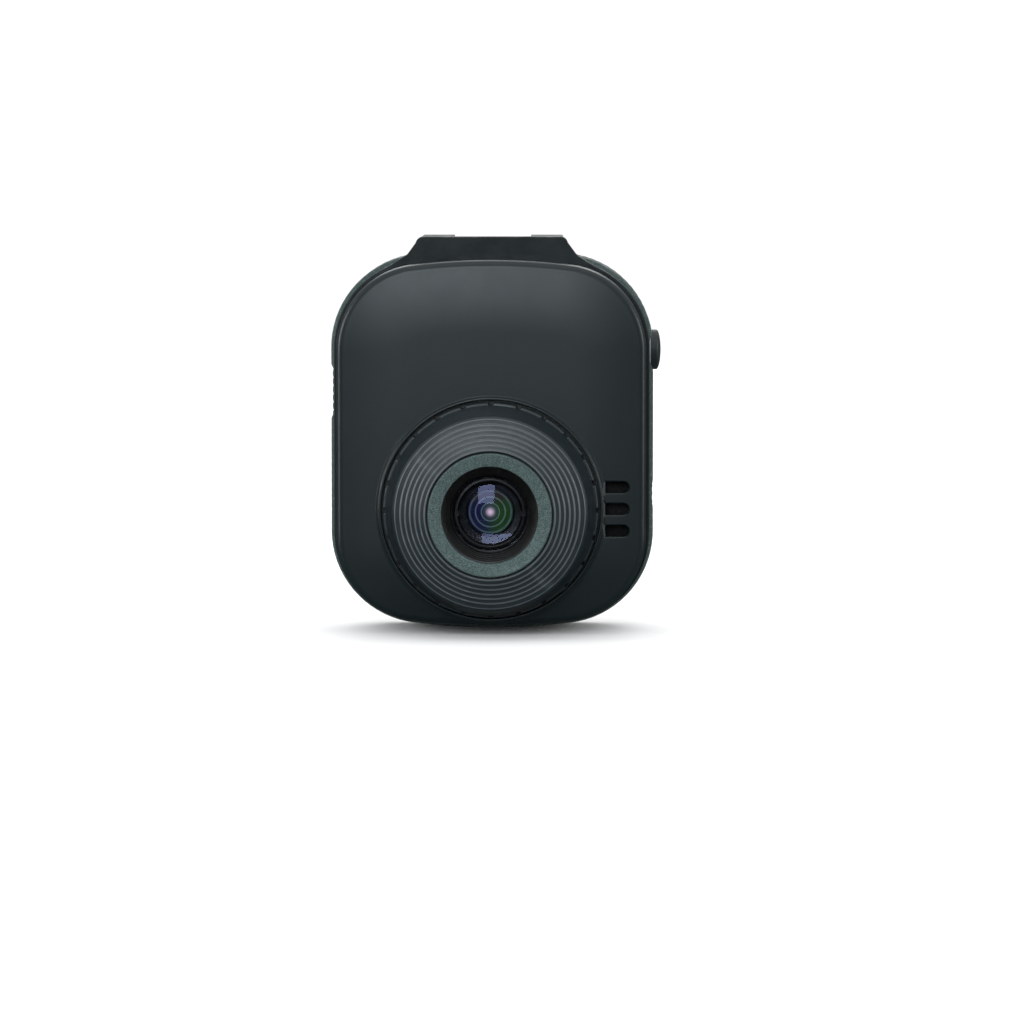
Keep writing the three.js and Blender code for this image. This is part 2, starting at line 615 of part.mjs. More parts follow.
// ---- Rear housing: textured band and back plate, with every opening for keys and sockets ----
function makeRearHousing() {
  const round = REAR_EDGE_ROUND;
  const outer = layered([
    [0, REAR_FRONT],
    [0, REAR_BACK - round],
    [round * 0.3, REAR_BACK - round * 0.3],
    [round, REAR_BACK],
  ]);
  const hollow = layered([[REAR_WALL, REAR_FRONT - 1], [REAR_WALL, REAR_BACK - BACK_THICKNESS]]);
  const bosses = SCREW_PLACES.map(([x, z]) => (
    shaft(BOSS_RADIUS, REAR_FRONT + GAP, REAR_BACK - BACK_THICKNESS + 0.5, x, z, BOSS_STEPS)));
  const holes = SCREW_PLACES.map(([x, z]) => (
    shaft(SCREW_RADIUS + GAP, REAR_FRONT - 1, REAR_BACK + 1, x, z, SMALL_STEPS)));
  const counterbores = SCREW_PLACES.map(([x, z]) => (
    shaft(SCREW_HEAD_RADIUS + GAP, REAR_BACK - SCREW_HEAD_HEIGHT - GAP * 2, REAR_BACK + 1,
      x, z, BOSS_STEPS)));
  const notchHalf = BLOCK_HALF + GAP;
  const shoeNotch = box(-notchHalf, notchHalf, REAR_FRONT - 1, REAR_BACK + 1, SHOE_BOTTOM - GAP, 1);
  const windowHole = plate(
    roundedRectangle(WINDOW_WIDTH - 2 * WINDOW_LEDGE, WINDOW_HEIGHT - 2 * WINDOW_LEDGE,
      WINDOW_CORNER, 0, DISPLAY_Z),
    REAR_BACK - BACK_THICKNESS - 1, REAR_BACK + 1, 3);
  const windowRecess = plate(
    roundedRectangle(WINDOW_WIDTH + 2 * GAP, WINDOW_HEIGHT + 2 * GAP, WINDOW_CORNER + GAP, 0, DISPLAY_Z),
    REAR_BACK - WINDOW_THICKNESS - GAP, REAR_BACK + 1, 3);
  const keyHoles = keyPlaces().map((x) => plate(
    roundedRectangle(KEY_WIDTH + 2 * RUNNING_GAP, KEY_HEIGHT + 2 * RUNNING_GAP,
      KEY_HEIGHT / 2 + RUNNING_GAP - 0.05, x, KEY_Z),
    REAR_BACK - BACK_THICKNESS - 1, REAR_BACK + 1, 3));
  const lightHole = shaft(
    LIGHT_RADIUS + GAP, REAR_BACK - BACK_THICKNESS - 1, REAR_BACK + 1, 0, LIGHT_Z, SMALL_STEPS);
  const walls = cut(joined(cut(outer, hollow), ...bosses), ...holes, ...counterbores, shoeNotch,
    windowHole, windowRecess, ...keyHoles, lightHole);
  return cut(walls, buttonHole(), flangeRoom(), usbHole(), cardHole(), microphoneHole());
}

const LIGHT_Z = KEY_Z + LIGHT_ABOVE_KEYS;

/** The x of each rear key's middle, from the left as the back is faced from the front. */
function keyPlaces() {
  const places = [];
  for (let i = 0; i < KEY_NAMES.length; i += 1) {
    places.push((i - (KEY_NAMES.length - 1) / 2) * KEY_PITCH);
  }
  return places;
}

const KEY_NAMES = ['ok_key', 'down_key', 'up_key', 'menu_key'];
const SIDE_X = BODY_WIDTH / 2;
const BUTTON_Y = REAR_FRONT - GAP + BUTTON_BEHIND_FRAME;
const BUTTON_Z = BODY_MIDDLE + BUTTON_ABOVE_CENTRE;
const BUTTON_STOP = SIDE_X - REAR_WALL - GAP - BUTTON_STOP_SINK;
const BEZEL_RADIUS = BUTTON_RADIUS + RUNNING_GAP + BEZEL_WALL;

/** The side button's stepped hole, in a shallow spot face that runs out at the front edge. */
function buttonHole() {
  const spot = BEZEL_RADIUS + SPOT_FACE_MARGIN;
  return alongX([
    [0, SIDE_X - REAR_WALL - 1],
    [BUTTON_RADIUS + RUNNING_GAP, SIDE_X - REAR_WALL - 1],
    [BUTTON_RADIUS + RUNNING_GAP, SIDE_X - BEZEL_SINK - BEZEL_DEPTH],
    [BEZEL_RADIUS + GAP, SIDE_X - BEZEL_SINK - BEZEL_DEPTH],
    [BEZEL_RADIUS + GAP, SIDE_X - SPOT_FACE_DEPTH],
    [spot, SIDE_X - SPOT_FACE_DEPTH],
    [spot, SIDE_X + 1],
    [0, SIDE_X + 1],
  ], BUTTON_Y, BUTTON_Z);
}

/** Room inside the wall for the side button's flange, pressed or not. */
function flangeRoom() {
  const radius = BUTTON_RADIUS + RUNNING_GAP + BUTTON_FLANGE + GAP;
  const inner = BUTTON_STOP - KEY_FLANGE_THICKNESS - BUTTON_TRAVEL - GAP;
  return alongX([[0, inner], [radius, inner], [radius, BUTTON_STOP + GAP], [0, BUTTON_STOP + GAP]],
    BUTTON_Y, BUTTON_Z);
}

const USB_Z = BODY_MIDDLE + USB_ABOVE_CENTRE;
const USB_Y = BOARD_BACK + GAP + USB_THICKNESS / 2;
const CARD_Z = BODY_MIDDLE - CARD_BELOW_CENTRE;
const CARD_CAVITY = CARD_THICKNESS + 2 * GAP;
const CARD_INNER = SIDE_X - CARD_SINK - CARD_LENGTH;
const CARD_Y = BOARD_BACK + GAP + CARD_SOCKET_WALL + CARD_CAVITY / 2;

/** The opening in the side wall for a USB plug. */
function usbHole() {
  const halfWidth = USB_WIDTH / 2 + GAP;
  const halfThickness = USB_THICKNESS / 2 + GAP;
  return box(-SIDE_X - 1, -SIDE_X + REAR_WALL + 1, USB_Y - halfThickness, USB_Y + halfThickness,
    USB_Z - halfWidth, USB_Z + halfWidth);
}

/** The slit in the side wall for the memory card, with a finger scoop. */
function cardHole() {
  const slit = box(SIDE_X - REAR_WALL - 1, SIDE_X + 1, CARD_Y - CARD_CAVITY / 2, CARD_Y + CARD_CAVITY / 2,
    CARD_Z - CARD_WIDTH / 2 - GAP, CARD_Z + CARD_WIDTH / 2 + GAP);
  const geometry = new THREE.CylinderGeometry(CARD_WIDTH / 2, CARD_WIDTH / 2, 6, 16);
  geometry.scale(SCOOP_FLATTEN, 1, SCOOP_NARROW);
  geometry.translate(SIDE_X, CARD_Y + SCOOP_OFFSET, CARD_Z);
  return joined(slit, solid(geometry));
}

const MICROPHONE_Y = BOARD_BACK + GAP + MICROPHONE_THICKNESS + MICROPHONE_HOLE_RADIUS + GAP;

/** The pinhole under the body that the microphone hears through. */
function microphoneHole() {
  const geometry = new THREE.CylinderGeometry(
    MICROPHONE_HOLE_RADIUS, MICROPHONE_HOLE_RADIUS, REAR_WALL * 3, SMALL_STEPS);
  geometry.rotateX(Math.PI / 2);
  geometry.translate(MICROPHONE_X, MICROPHONE_Y, BODY_BOTTOM + 1);
  return solid(geometry);
}

// ---- Lens nose ----
function makeFocusRing() {
  const outer = COLLAR_RADIUS - COLLAR_WALL - RUNNING_GAP;
  const inner = outer - RING_WALL;
  const back = SEAT_Y - GAP;
  const front = ahead(RING_RISE);
  const body = turned([
    [inner, front],
    [outer - RING_CHAMFER, front],
    [outer, front + RING_CHAMFER],
    [outer, back],
    [inner, back],
    [inner, front],
  ], 0, LENS_Z, 48);
  const notches = [];
  for (let i = 0; i < NOTCH_COUNT; i += 1) {
    const angle = Math.PI / 2 + i * 2 * Math.PI / NOTCH_COUNT;
    notches.push(shaft(NOTCH_RADIUS, front - 1, back + 1, outer * Math.cos(angle),
      LENS_Z + outer * Math.sin(angle), SMALL_STEPS));
  }
  return cut(body, ...notches);
}

/** The shroud: a neck in the cover's seat, a steep shoulder, terraces, and a lip at the front. */
function makeLensShroud() {
  const ringInner = COLLAR_RADIUS - COLLAR_WALL - RUNNING_GAP - RING_WALL;
  const journal = ringInner - RUNNING_GAP;
  const step = ahead(RING_RISE + GAP);
  const rim = ahead(SHROUD_RIM_RISE);
  const terrace = (SHROUD_RIM_RADIUS - LIP_RADIUS) / TERRACE_COUNT;
  const lip = rim - TERRACE_COUNT * TERRACE_RISE;
  const profile = [
    [SHROUD_NECK_RADIUS, SEAT_BACK],
    [SHROUD_NECK_RADIUS, SEAT_Y - GAP],
    [journal, SEAT_Y - GAP],
    [journal, step],
    [SHROUD_SHOULDER_RADIUS, step],
    [SHROUD_RIM_RADIUS + 0.3, rim + 0.4],
    [SHROUD_RIM_RADIUS, rim],
  ];
  for (let i = 1; i <= TERRACE_COUNT; i += 1) {
    const radius = SHROUD_RIM_RADIUS - i * terrace;
    profile.push([radius, rim - (i - 1) * TERRACE_RISE]);
    profile.push([radius, rim - i * TERRACE_RISE]);
  }
  const neckBore = SHROUD_NECK_RADIUS - SHROUD_NECK_WALL;
  profile.push(
    [TRIM_RADIUS + GAP, lip],
    [TRIM_RADIUS + GAP, TRIM_SEAT],
    [BAFFLE_RADIUS + GAP, TRIM_SEAT],
    [BAFFLE_RADIUS + GAP, BARREL_FRONT + 1],
    [SHROUD_RIM_RADIUS - SHROUD_WALL, BARREL_FRONT + 2.5],
    [SHROUD_RIM_RADIUS - SHROUD_WALL, ahead(RING_RISE + 1)],
    [neckBore, ahead(RING_RISE)],
    [neckBore, SEAT_BACK],
    [SHROUD_NECK_RADIUS, SEAT_BACK],
  );
  const pilots = SHROUD_SCREW_PLACES.map(([x, z]) => (
    shaft(SMALL_SCREW_RADIUS + GAP, ahead(RING_RISE - 0.5), SEAT_BACK + 1, x, z, SMALL_STEPS)));
  return cut(turned(profile.reverse(), 0, LENS_Z, LARGE_STEPS), ...pilots);
}

/** The metal ring let into the front of the shroud, slightly dished towards the lens. */
function makeTrimRing() {
  const front = ahead(NOSE_RISE);
  const back = front + TRIM_DEPTH;
  return turned([
    [TRIM_BORE, front + 0.35],
    [TRIM_RADIUS - 0.25, front],
    [TRIM_RADIUS, front + 0.25],
    [TRIM_RADIUS, back],
    [TRIM_BORE, back],
    [TRIM_BORE, front + 0.35],
  ], 0, LENS_Z, LARGE_STEPS);
}

/** The black funnel between the trim ring and the lens. */
function makeBaffle() {
  const front = TRIM_SEAT;
  const back = front + BAFFLE_DEPTH;
  return turned([
    [TRIM_BORE - 0.2, front],
    [BAFFLE_RADIUS, front],
    [BAFFLE_RADIUS, front + BAFFLE_WALL],
    [BAFFLE_END_BORE + BAFFLE_WALL, back],
    [BAFFLE_END_BORE, back],
    [TRIM_BORE - 0.2, front],
  ], 0, LENS_Z, MEDIUM_STEPS);
}

/** The lens barrel: a head with the front cell, and a stem that the holder grips. */
function makeBarrel() {
  const cell = BARREL_FRONT + CELL_DEPTH;
  const shoulder = BARREL_FRONT + BARREL_HEAD_DEPTH;
  return turned([
    [RETAINER_RADIUS + GAP, BARREL_FRONT],
    [BARREL_HEAD_RADIUS, BARREL_FRONT],
    [BARREL_HEAD_RADIUS, shoulder],
    [BARREL_RADIUS, shoulder],
    [BARREL_RADIUS, BARREL_BACK],
    [BARREL_END_BORE, BARREL_BACK],
    [BARREL_END_BORE, BARREL_BACK - BARREL_END_LIP],
    [BARREL_BORE, BARREL_BACK - BARREL_END_LIP],
    [BARREL_BORE, cell],
    [RETAINER_RADIUS + GAP, cell],
    [RETAINER_RADIUS + GAP, BARREL_FRONT],
  ], 0, LENS_Z, MEDIUM_STEPS);
}

/** The threaded ring that holds the front glass in its cell. */
function makeRetainer() {
  const back = GLASS_SHOULDER - GAP;
  const front = back - RETAINER_THICKNESS;
  return turned([
    [RETAINER_BORE + 0.3, front],
    [RETAINER_RADIUS, front],
    [RETAINER_RADIUS, back],
    [RETAINER_BORE, back],
    [RETAINER_BORE, front + 0.3],
    [RETAINER_BORE + 0.3, front],
  ], 0, LENS_Z, MEDIUM_STEPS);
}

/** A glass element: a flat-backed disc with a domed front. */
function glassElement(radius, edge, dome, back, steps) {
  const shoulder = back - edge;
  const profile = [[0, back], [radius, back], [radius, shoulder]];
  const rounds = 3;
  for (let i = 1; i <= rounds; i += 1) {
    const share = i / rounds;
    profile.push([radius * (1 - share), shoulder - dome * (1 - (1 - share) ** 2)]);
  }
  return turned(profile.reverse(), 0, LENS_Z, steps);
}

/** The lens holder: a square foot on the board with an upright tube round the barrel. */
function makeLensHolder() {
  const back = BOARD_FRONT - GAP;
  const foot = back - HOLDER_BASE_DEPTH;
  const half = HOLDER_BASE / 2;
  const base = box(-half, half, foot, back, LENS_Z - half, LENS_Z + half);
  const mouth = foot - HOLDER_LENGTH + HOLDER_BASE_DEPTH;
  const tube = shaft(HOLDER_RADIUS, mouth, foot + 1, 0, LENS_Z, MEDIUM_STEPS);
  const bore = shaft(BARREL_RADIUS + GAP, foot - HOLDER_LENGTH, foot, 0, LENS_Z, MEDIUM_STEPS);
  const light = shaft(HOLDER_LEDGE_BORE, foot - 1, back + 1, 0, LENS_Z, 16);
  const room = FILTER_SIZE / 2 + GAP;
  const chamber = box(-room, room, foot + HOLDER_LEDGE, back + 1, LENS_Z - room, LENS_Z + room);
  return cut(joined(base, tube), bore, light, chamber);
}

// ---- Flat parts on the boards ----
function makeMainBoard() {
  const whole = layered([[BOARD_INSET, BOARD_FRONT], [BOARD_INSET, BOARD_BACK]]);
  const shoeCut = box(-SHOE_WIDTH, SHOE_WIDTH, BOARD_FRONT - 1, BOARD_BACK + 1, SHOE_BOTTOM - 2 * GAP, 0);
  const lugCuts = SCREW_PLACES.map(([x, z]) => (
    shaft(LUG_RADIUS + GAP, BOARD_FRONT - 1, BOARD_BACK + 1, x, z, SMALL_STEPS)));
  const holes = BOARD_SCREW_PLACES.map(([x, z]) => (
    shaft(SMALL_SCREW_RADIUS + GAP, BOARD_FRONT - 1, BOARD_BACK + 1, x, z, SMALL_STEPS)));
  return cut(whole, shoeCut, ...lugCuts, ...holes);
}

/** The larger chips: name, width, height, thickness, place across, and depth below the top. */
const CHIPS = [
  ['processor_chip', 13, 13, 1.1, -7, 19.8],
  ['memory_chip', 8, 11, 1, 8, 19.8],
  ['motion_sensor_chip', 3, 3, 0.9, 16, 15],
];

/** A flat chip on the front of the main board. */
function chip(width, height, thickness, x, z) {
  const back = BOARD_FRONT - GAP;
  return box(x - width / 2, x + width / 2, back - thickness, back, z - height / 2, z + height / 2);
}

/** The flat cable from the display's lower edge to the back of the main board. */
function makeDisplayFlex() {
  const top = DISPLAY_Z - LCD_HEIGHT / 2 - GAP;
  const half = FLEX_WIDTH / 2;
  const board = BOARD_BACK + GAP;
  return joined(
    box(-half, half, board, LCD_BACK - 1, top - FLEX_THICKNESS, top),
    box(-half, half, board, board + FLEX_THICKNESS, top - FLEX_LANDING, top),
  );
}

/** A screw that goes in from behind: its head at the back, its shaft forwards. */
function screw(radius, headRadius, headHeight, length, headBack, x, z) {
  const seat = headBack - headHeight;
  const slotHalf = headRadius * 0.16;
  const body = turned([
    [0, seat - length],
    [radius, seat - length + radius],
    [radius, seat],
    [headRadius, seat],
    [headRadius, headBack - headHeight * 0.35],
    [headRadius * 0.8, headBack],
    [0, headBack],
  ], x, z, SMALL_STEPS);
  const reach = headRadius * 0.6;
  const depth = headBack - headHeight * 0.5;
  const across = box(x - reach, x + reach, depth, headBack + 1, z - slotHalf, z + slotHalf);
  const upright = box(x - slotHalf, x + slotHalf, depth, headBack + 1, z - reach, z + reach);
  return cut(body, joined(across, upright));
}

/** The microSD socket: a thin metal box, open towards the side wall. */
function makeCardSocket() {
  const outer = CARD_CAVITY + 2 * CARD_SOCKET_WALL;
  const mouth = SIDE_X - REAR_WALL - GAP;
  const inner = CARD_INNER - GAP - CARD_SOCKET_WALL;
  const room = CARD_WIDTH / 2 + GAP;
  const wall = room + CARD_SOCKET_WALL;
  return cut(
    box(inner, mouth, CARD_Y - outer / 2, CARD_Y + outer / 2, CARD_Z - wall, CARD_Z + wall),
    box(inner + CARD_SOCKET_WALL, mouth + 1, CARD_Y - CARD_CAVITY / 2, CARD_Y + CARD_CAVITY / 2,
      CARD_Z - room, CARD_Z + room),
  );
}

/** The memory card, with the small notch in one long edge. */
function makeMemoryCard() {
  const half = CARD_THICKNESS / 2;
  const edge = CARD_Z - CARD_WIDTH / 2;
  return cut(
    box(CARD_INNER, CARD_INNER + CARD_LENGTH, CARD_Y - half, CARD_Y + half, edge, edge + CARD_WIDTH),
    box(CARD_INNER - 1, CARD_INNER + CARD_NOTCH_LENGTH, CARD_Y - 1, CARD_Y + 1,
      edge - 1, edge + CARD_NOTCH_WIDTH),
  );
}

/** The USB socket: a metal shell with a tongue inside, open towards the side wall. */
function makeUsbSocket() {
  const mouth = -SIDE_X + REAR_WALL * 0.5;
  const inner = mouth + USB_LENGTH;
  const halfThickness = USB_THICKNESS / 2;
  const halfWidth = USB_WIDTH / 2;
  const shell = cut(
    box(mouth, inner, USB_Y - halfThickness, USB_Y + halfThickness, USB_Z - halfWidth, USB_Z + halfWidth),
    box(mouth - 1, inner - USB_WALL * 2, USB_Y - halfThickness + USB_WALL, USB_Y + halfThickness - USB_WALL,
      USB_Z - halfWidth + USB_WALL, USB_Z + halfWidth - USB_WALL),
  );
  const tongue = box(mouth + 1.5, inner - USB_WALL, USB_Y - 0.4, USB_Y + 0.4, USB_Z - 2.2, USB_Z + 2.2);
  return joined(shell, tongue);
}

/** A rear key: a pill-shaped cap, and a wider flange that stops it from behind. */
function makeKey(x) {
  const inside = REAR_BACK - BACK_THICKNESS - GAP;
  const cap = plate(roundedRectangle(KEY_WIDTH, KEY_HEIGHT, KEY_HEIGHT / 2 - 0.05, x, KEY_Z),
    inside - 0.1, REAR_BACK + KEY_PROUD, 3);
  const rim = KEY_FLANGE + RUNNING_GAP;
  const flange = plate(roundedRectangle(KEY_WIDTH + 2 * rim, KEY_HEIGHT + 2 * rim, 0.5, x, KEY_Z),
    inside - KEY_FLANGE_THICKNESS, inside, 1);
  return joined(cap, flange);
}

/** The side button: a low dome on a stem, with a flange that stops it inside the wall. */
function makePowerButton() {
  const inside = BUTTON_STOP;
  const crown = SIDE_X + BUTTON_PROUD;
  const shoulder = crown - BUTTON_DOME;
  return alongX([
    [0, inside - KEY_FLANGE_THICKNESS],
    [BUTTON_RADIUS + RUNNING_GAP + BUTTON_FLANGE, inside - KEY_FLANGE_THICKNESS],
    [BUTTON_RADIUS + RUNNING_GAP + BUTTON_FLANGE, inside],
    [BUTTON_RADIUS, inside],
    [BUTTON_RADIUS, shoulder],
    [BUTTON_RADIUS * 0.93, shoulder + BUTTON_DOME * 0.5],
    [BUTTON_RADIUS * 0.72, shoulder + BUTTON_DOME * 0.85],
    [0, crown],
  ], BUTTON_Y, BUTTON_Z);
}

/** The thin ring let into the housing round the side button. */
function makeButtonBezel() {
  const front = SIDE_X - BEZEL_SINK;
  const back = front - BEZEL_DEPTH + GAP;
  const inner = BEZEL_RADIUS - BEZEL_WALL;
  return alongX([
    [inner, back], [BEZEL_RADIUS, back], [BEZEL_RADIUS, front - 0.15],
    [BEZEL_RADIUS - 0.15, front], [inner, front], [inner, back],
  ], BUTTON_Y, BUTTON_Z);
}

/** The switch behind the side button, standing on the back of the main board. */
function makePowerSwitch() {
  const face = BUTTON_STOP - KEY_FLANGE_THICKNESS - BUTTON_TRAVEL - GAP;
  const back = BOARD_BACK + GAP;
  return box(face - 4, face, back, LCD_FRONT - GAP, BUTTON_Z - 3, BUTTON_Z + 3);
}

// ---- Assembly ----
piece('front_cover', makeFrontCover(), 'cover');
piece('mid_frame', makeMidFrame(), 'frame');
piece('rear_housing', makeRearHousing(), 'housing');

piece('focus_ring', makeFocusRing(), 'ring');
piece('lens_shroud', makeLensShroud(), 'shroud');
piece('lens_trim_ring', makeTrimRing(), 'trim');
piece('lens_baffle', makeBaffle(), 'black');
piece('lens_barrel', makeBarrel(), 'anodised');
piece('lens_retainer_ring', makeRetainer(), 'retainer');
piece('lens_holder', makeLensHolder(), 'black');

const frontGlassBack = GLASS_SHOULDER + FRONT_GLASS_EDGE;
piece('front_lens', glassElement(
  RETAINER_RADIUS, FRONT_GLASS_EDGE, FRONT_GLASS_DOME, frontGlassBack, MEDIUM_STEPS), 'glass');
const middleBack = BARREL_FRONT + CELL_DEPTH + MIDDLE_LENS_SINK;
piece('middle_lens', glassElement(
  BARREL_BORE - GAP, INNER_GLASS_THICKNESS, INNER_GLASS_THICKNESS * 0.3, middleBack, 16), 'glass');
piece('lens_spacer', ring(BARREL_BORE - GAP, BARREL_BORE - GAP - SPACER_WALL, middleBack + GAP,
  middleBack + GAP + SPACER_LENGTH, 0, LENS_Z, 16), 'anodised');
const rearLensBack = BARREL_BACK - BARREL_END_LIP - GAP;
piece('rear_lens', glassElement(
  BARREL_BORE - GAP, INNER_GLASS_THICKNESS / 2, INNER_GLASS_THICKNESS / 4, rearLensBack, 16), 'glass');

const filterBack = BOARD_FRONT - 2 * GAP - SENSOR_THICKNESS - GAP;
const centred = (half, y0, y1) => box(-half, half, y0, y1, LENS_Z - half, LENS_Z + half);
piece('infrared_filter', centred(FILTER_SIZE / 2, filterBack - FILTER_THICKNESS, filterBack), 'glass');
piece('image_sensor', centred(
  SENSOR_SIZE / 2, BOARD_FRONT - GAP - SENSOR_THICKNESS, BOARD_FRONT - GAP), 'chip');

piece('main_board', makeMainBoard(), 'board');
for (const [name, width, height, thickness, x, below] of CHIPS) {
  piece(name, chip(width, height, thickness, x, BODY_TOP - below), 'chip');
}

piece('speaker_gauze', box(...GAUZE_BOX), 'foam');
piece('speaker', box(...SPEAKER_BOX), 'black');
const microphoneZ = BODY_BOTTOM + MICROPHONE_ABOVE_BOTTOM;
piece('microphone', box(MICROPHONE_X - MICROPHONE_WIDTH / 2, MICROPHONE_X + MICROPHONE_WIDTH / 2,
  BOARD_BACK + GAP, BOARD_BACK + GAP + MICROPHONE_THICKNESS,
  microphoneZ, microphoneZ + MICROPHONE_HEIGHT), 'steel');

const batteryX = -BATTERY_OFF_CENTRE;
const padY = BOARD_BACK + GAP;
const batteryY = padY + PAD_THICKNESS + GAP;
const padHalfWidth = BATTERY_WIDTH / 2 - PAD_MARGIN;
const padHalfHeight = BATTERY_HEIGHT / 2 - PAD_MARGIN;
piece('battery_pad', box(batteryX - padHalfWidth, batteryX + padHalfWidth,
  padY, padY + PAD_THICKNESS, DISPLAY_Z - padHalfHeight, DISPLAY_Z + padHalfHeight), 'foam');
piece('battery_cell', plate(
  roundedRectangle(BATTERY_WIDTH, BATTERY_HEIGHT, 1, batteryX, DISPLAY_Z),
  batteryY, batteryY + BATTERY_DEPTH, 3), 'battery');

piece('lcd_panel', box(-LCD_WIDTH / 2, LCD_WIDTH / 2, LCD_FRONT, LCD_BACK,
  DISPLAY_Z - LCD_HEIGHT / 2, DISPLAY_Z + LCD_HEIGHT / 2), 'steel');
piece('display_window', plate(
  roundedRectangle(WINDOW_WIDTH, WINDOW_HEIGHT, WINDOW_CORNER, 0, DISPLAY_Z),
  REAR_BACK - WINDOW_THICKNESS, REAR_BACK, 4), 'clear');
piece('display_flex', makeDisplayFlex(), 'flex');

const keyRest = REAR_BACK - BACK_THICKNESS - GAP - KEY_FLANGE_THICKNESS;
const switchTop = keyRest - KEY_TRAVEL - GAP;
const keyBoardBack = switchTop - SWITCH_THICKNESS - GAP;
piece('key_board', box(-KEY_BOARD_WIDTH / 2, KEY_BOARD_WIDTH / 2, keyBoardBack - KEY_BOARD_THICKNESS,
  keyBoardBack, KEY_Z - KEY_BOARD_DROP, KEY_Z + KEY_BOARD_RISE), 'board');
keyPlaces().forEach((x, i) => {
  const half = SWITCH_SIZE / 2;
  piece(KEY_NAMES[i], makeKey(x), 'key');
  piece(KEY_NAMES[i].replace('key', 'switch'),
    box(x - half, x + half, keyBoardBack + GAP, switchTop, KEY_Z - half, KEY_Z + half), 'black');
});
const ledY = keyBoardBack + GAP;
piece('status_led', box(-LED_SIZE / 2, LED_SIZE / 2, ledY, ledY + LED_THICKNESS,
  LIGHT_Z - LED_SIZE / 2, LIGHT_Z + LED_SIZE / 2), 'diffuser');
piece('status_light_pipe', shaft(
  LIGHT_RADIUS, ledY + LED_THICKNESS + GAP, REAR_BACK, 0, LIGHT_Z, BOSS_STEPS), 'diffuser');

piece('power_button', makePowerButton(), 'key');
piece('power_button_bezel', makeButtonBezel(), 'steel');
piece('power_switch', makePowerSwitch(), 'black');
piece('card_socket', makeCardSocket(), 'steel');
piece('memory_card', makeMemoryCard(), 'black');
piece('usb_socket', makeUsbSocket(), 'steel');

const SCREW_NAMES = ['upper_left', 'upper_right', 'lower_left', 'lower_right'];
SCREW_PLACES.forEach(([x, z], i) => {
  piece(`housing_screw_${SCREW_NAMES[i]}`, screw(SCREW_RADIUS, SCREW_HEAD_RADIUS, SCREW_HEAD_HEIGHT,
    SCREW_LENGTH, REAR_BACK - GAP, x, z), 'screw');
});
const BOARD_SCREW_NAMES = ['left', 'right', 'bottom'];
BOARD_SCREW_PLACES.forEach(([x, z], i) => {
  piece(`board_screw_${BOARD_SCREW_NAMES[i]}`, screw(SMALL_SCREW_RADIUS, SMALL_HEAD_RADIUS,
    SMALL_HEAD_HEIGHT, BOARD_THICKNESS + BOARD_SCREW_GRIP,
    BOARD_BACK + GAP + SMALL_HEAD_HEIGHT, x, z), 'screw');
});
SHROUD_SCREW_PLACES.forEach(([x, z], i) => {
  piece(`shroud_screw_${i + 1}`, screw(SMALL_SCREW_RADIUS, SMALL_HEAD_RADIUS, SMALL_HEAD_HEIGHT,
    SEAT_FLOOR + RING_RISE, SEAT_BACK + GAP + SMALL_HEAD_HEIGHT, x, z), 'screw');
});

export default camera;
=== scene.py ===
"""Visual model of a compact windscreen dash camera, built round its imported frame.

The lens looks along -Y, +X is the side with the round button, and +Z is up through the bracket
shoe. Sizes are written in millimetres, and ``make_object`` turns them into the frame's metres.
"""
import json
import logging
import math
from dataclasses import dataclass, field
from enum import Enum
from typing import Callable, Iterable, Sequence

import bmesh
import bpy
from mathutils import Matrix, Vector


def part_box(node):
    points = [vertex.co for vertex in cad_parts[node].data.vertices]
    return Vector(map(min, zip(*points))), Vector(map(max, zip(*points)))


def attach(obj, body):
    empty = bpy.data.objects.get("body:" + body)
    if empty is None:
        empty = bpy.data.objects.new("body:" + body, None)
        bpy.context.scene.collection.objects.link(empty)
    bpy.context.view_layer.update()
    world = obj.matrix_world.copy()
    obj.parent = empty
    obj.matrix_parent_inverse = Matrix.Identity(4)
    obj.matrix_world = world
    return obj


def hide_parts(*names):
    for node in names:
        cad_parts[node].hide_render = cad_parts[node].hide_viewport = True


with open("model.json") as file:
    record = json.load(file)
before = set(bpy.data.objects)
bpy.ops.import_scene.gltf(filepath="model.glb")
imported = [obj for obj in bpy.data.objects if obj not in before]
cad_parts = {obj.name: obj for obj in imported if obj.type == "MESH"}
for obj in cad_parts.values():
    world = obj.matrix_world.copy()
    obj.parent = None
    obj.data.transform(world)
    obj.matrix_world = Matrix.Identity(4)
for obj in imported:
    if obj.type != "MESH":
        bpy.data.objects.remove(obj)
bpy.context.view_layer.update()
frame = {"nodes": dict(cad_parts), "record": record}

LOG = logging.getLogger("dash_camera")

Point = tuple[float, float, float]
Pair = tuple[float, float]
Profile = list[Pair]
Colour = tuple[int, int, int]
Item = bpy.types.Object
Material = bpy.types.Material
Node = bpy.types.Node
Socket = bpy.types.NodeSocket
Value = float | tuple | Socket

METRE = 0.001
SHARP_ANGLE = math.radians(32)
ROUND_STEPS = 160
WELD = 1e-7

BODY_OF = {node: body for body, nodes in frame["record"]["behaviour"]["bodies"].items()
           for node in nodes}
SLOT_OF = {row["node"]: row["material_slot"] for row in frame["record"]["subparts"]}


def linear(colour: Colour) -> tuple[float, float, float, float]:
    """Return an 8-bit sRGB colour as scene-linear red, green, blue and alpha.

    Args:
        colour: red, green and blue from 0 to 255.

    Returns:
        The linear channels, with alpha 1.
    """
    channels = []
    for value in colour:
        share = value / 255.0
        channels.append(share / 12.92 if share <= 0.04045 else ((share + 0.055) / 1.055) ** 2.4)
    return (channels[0], channels[1], channels[2], 1.0)


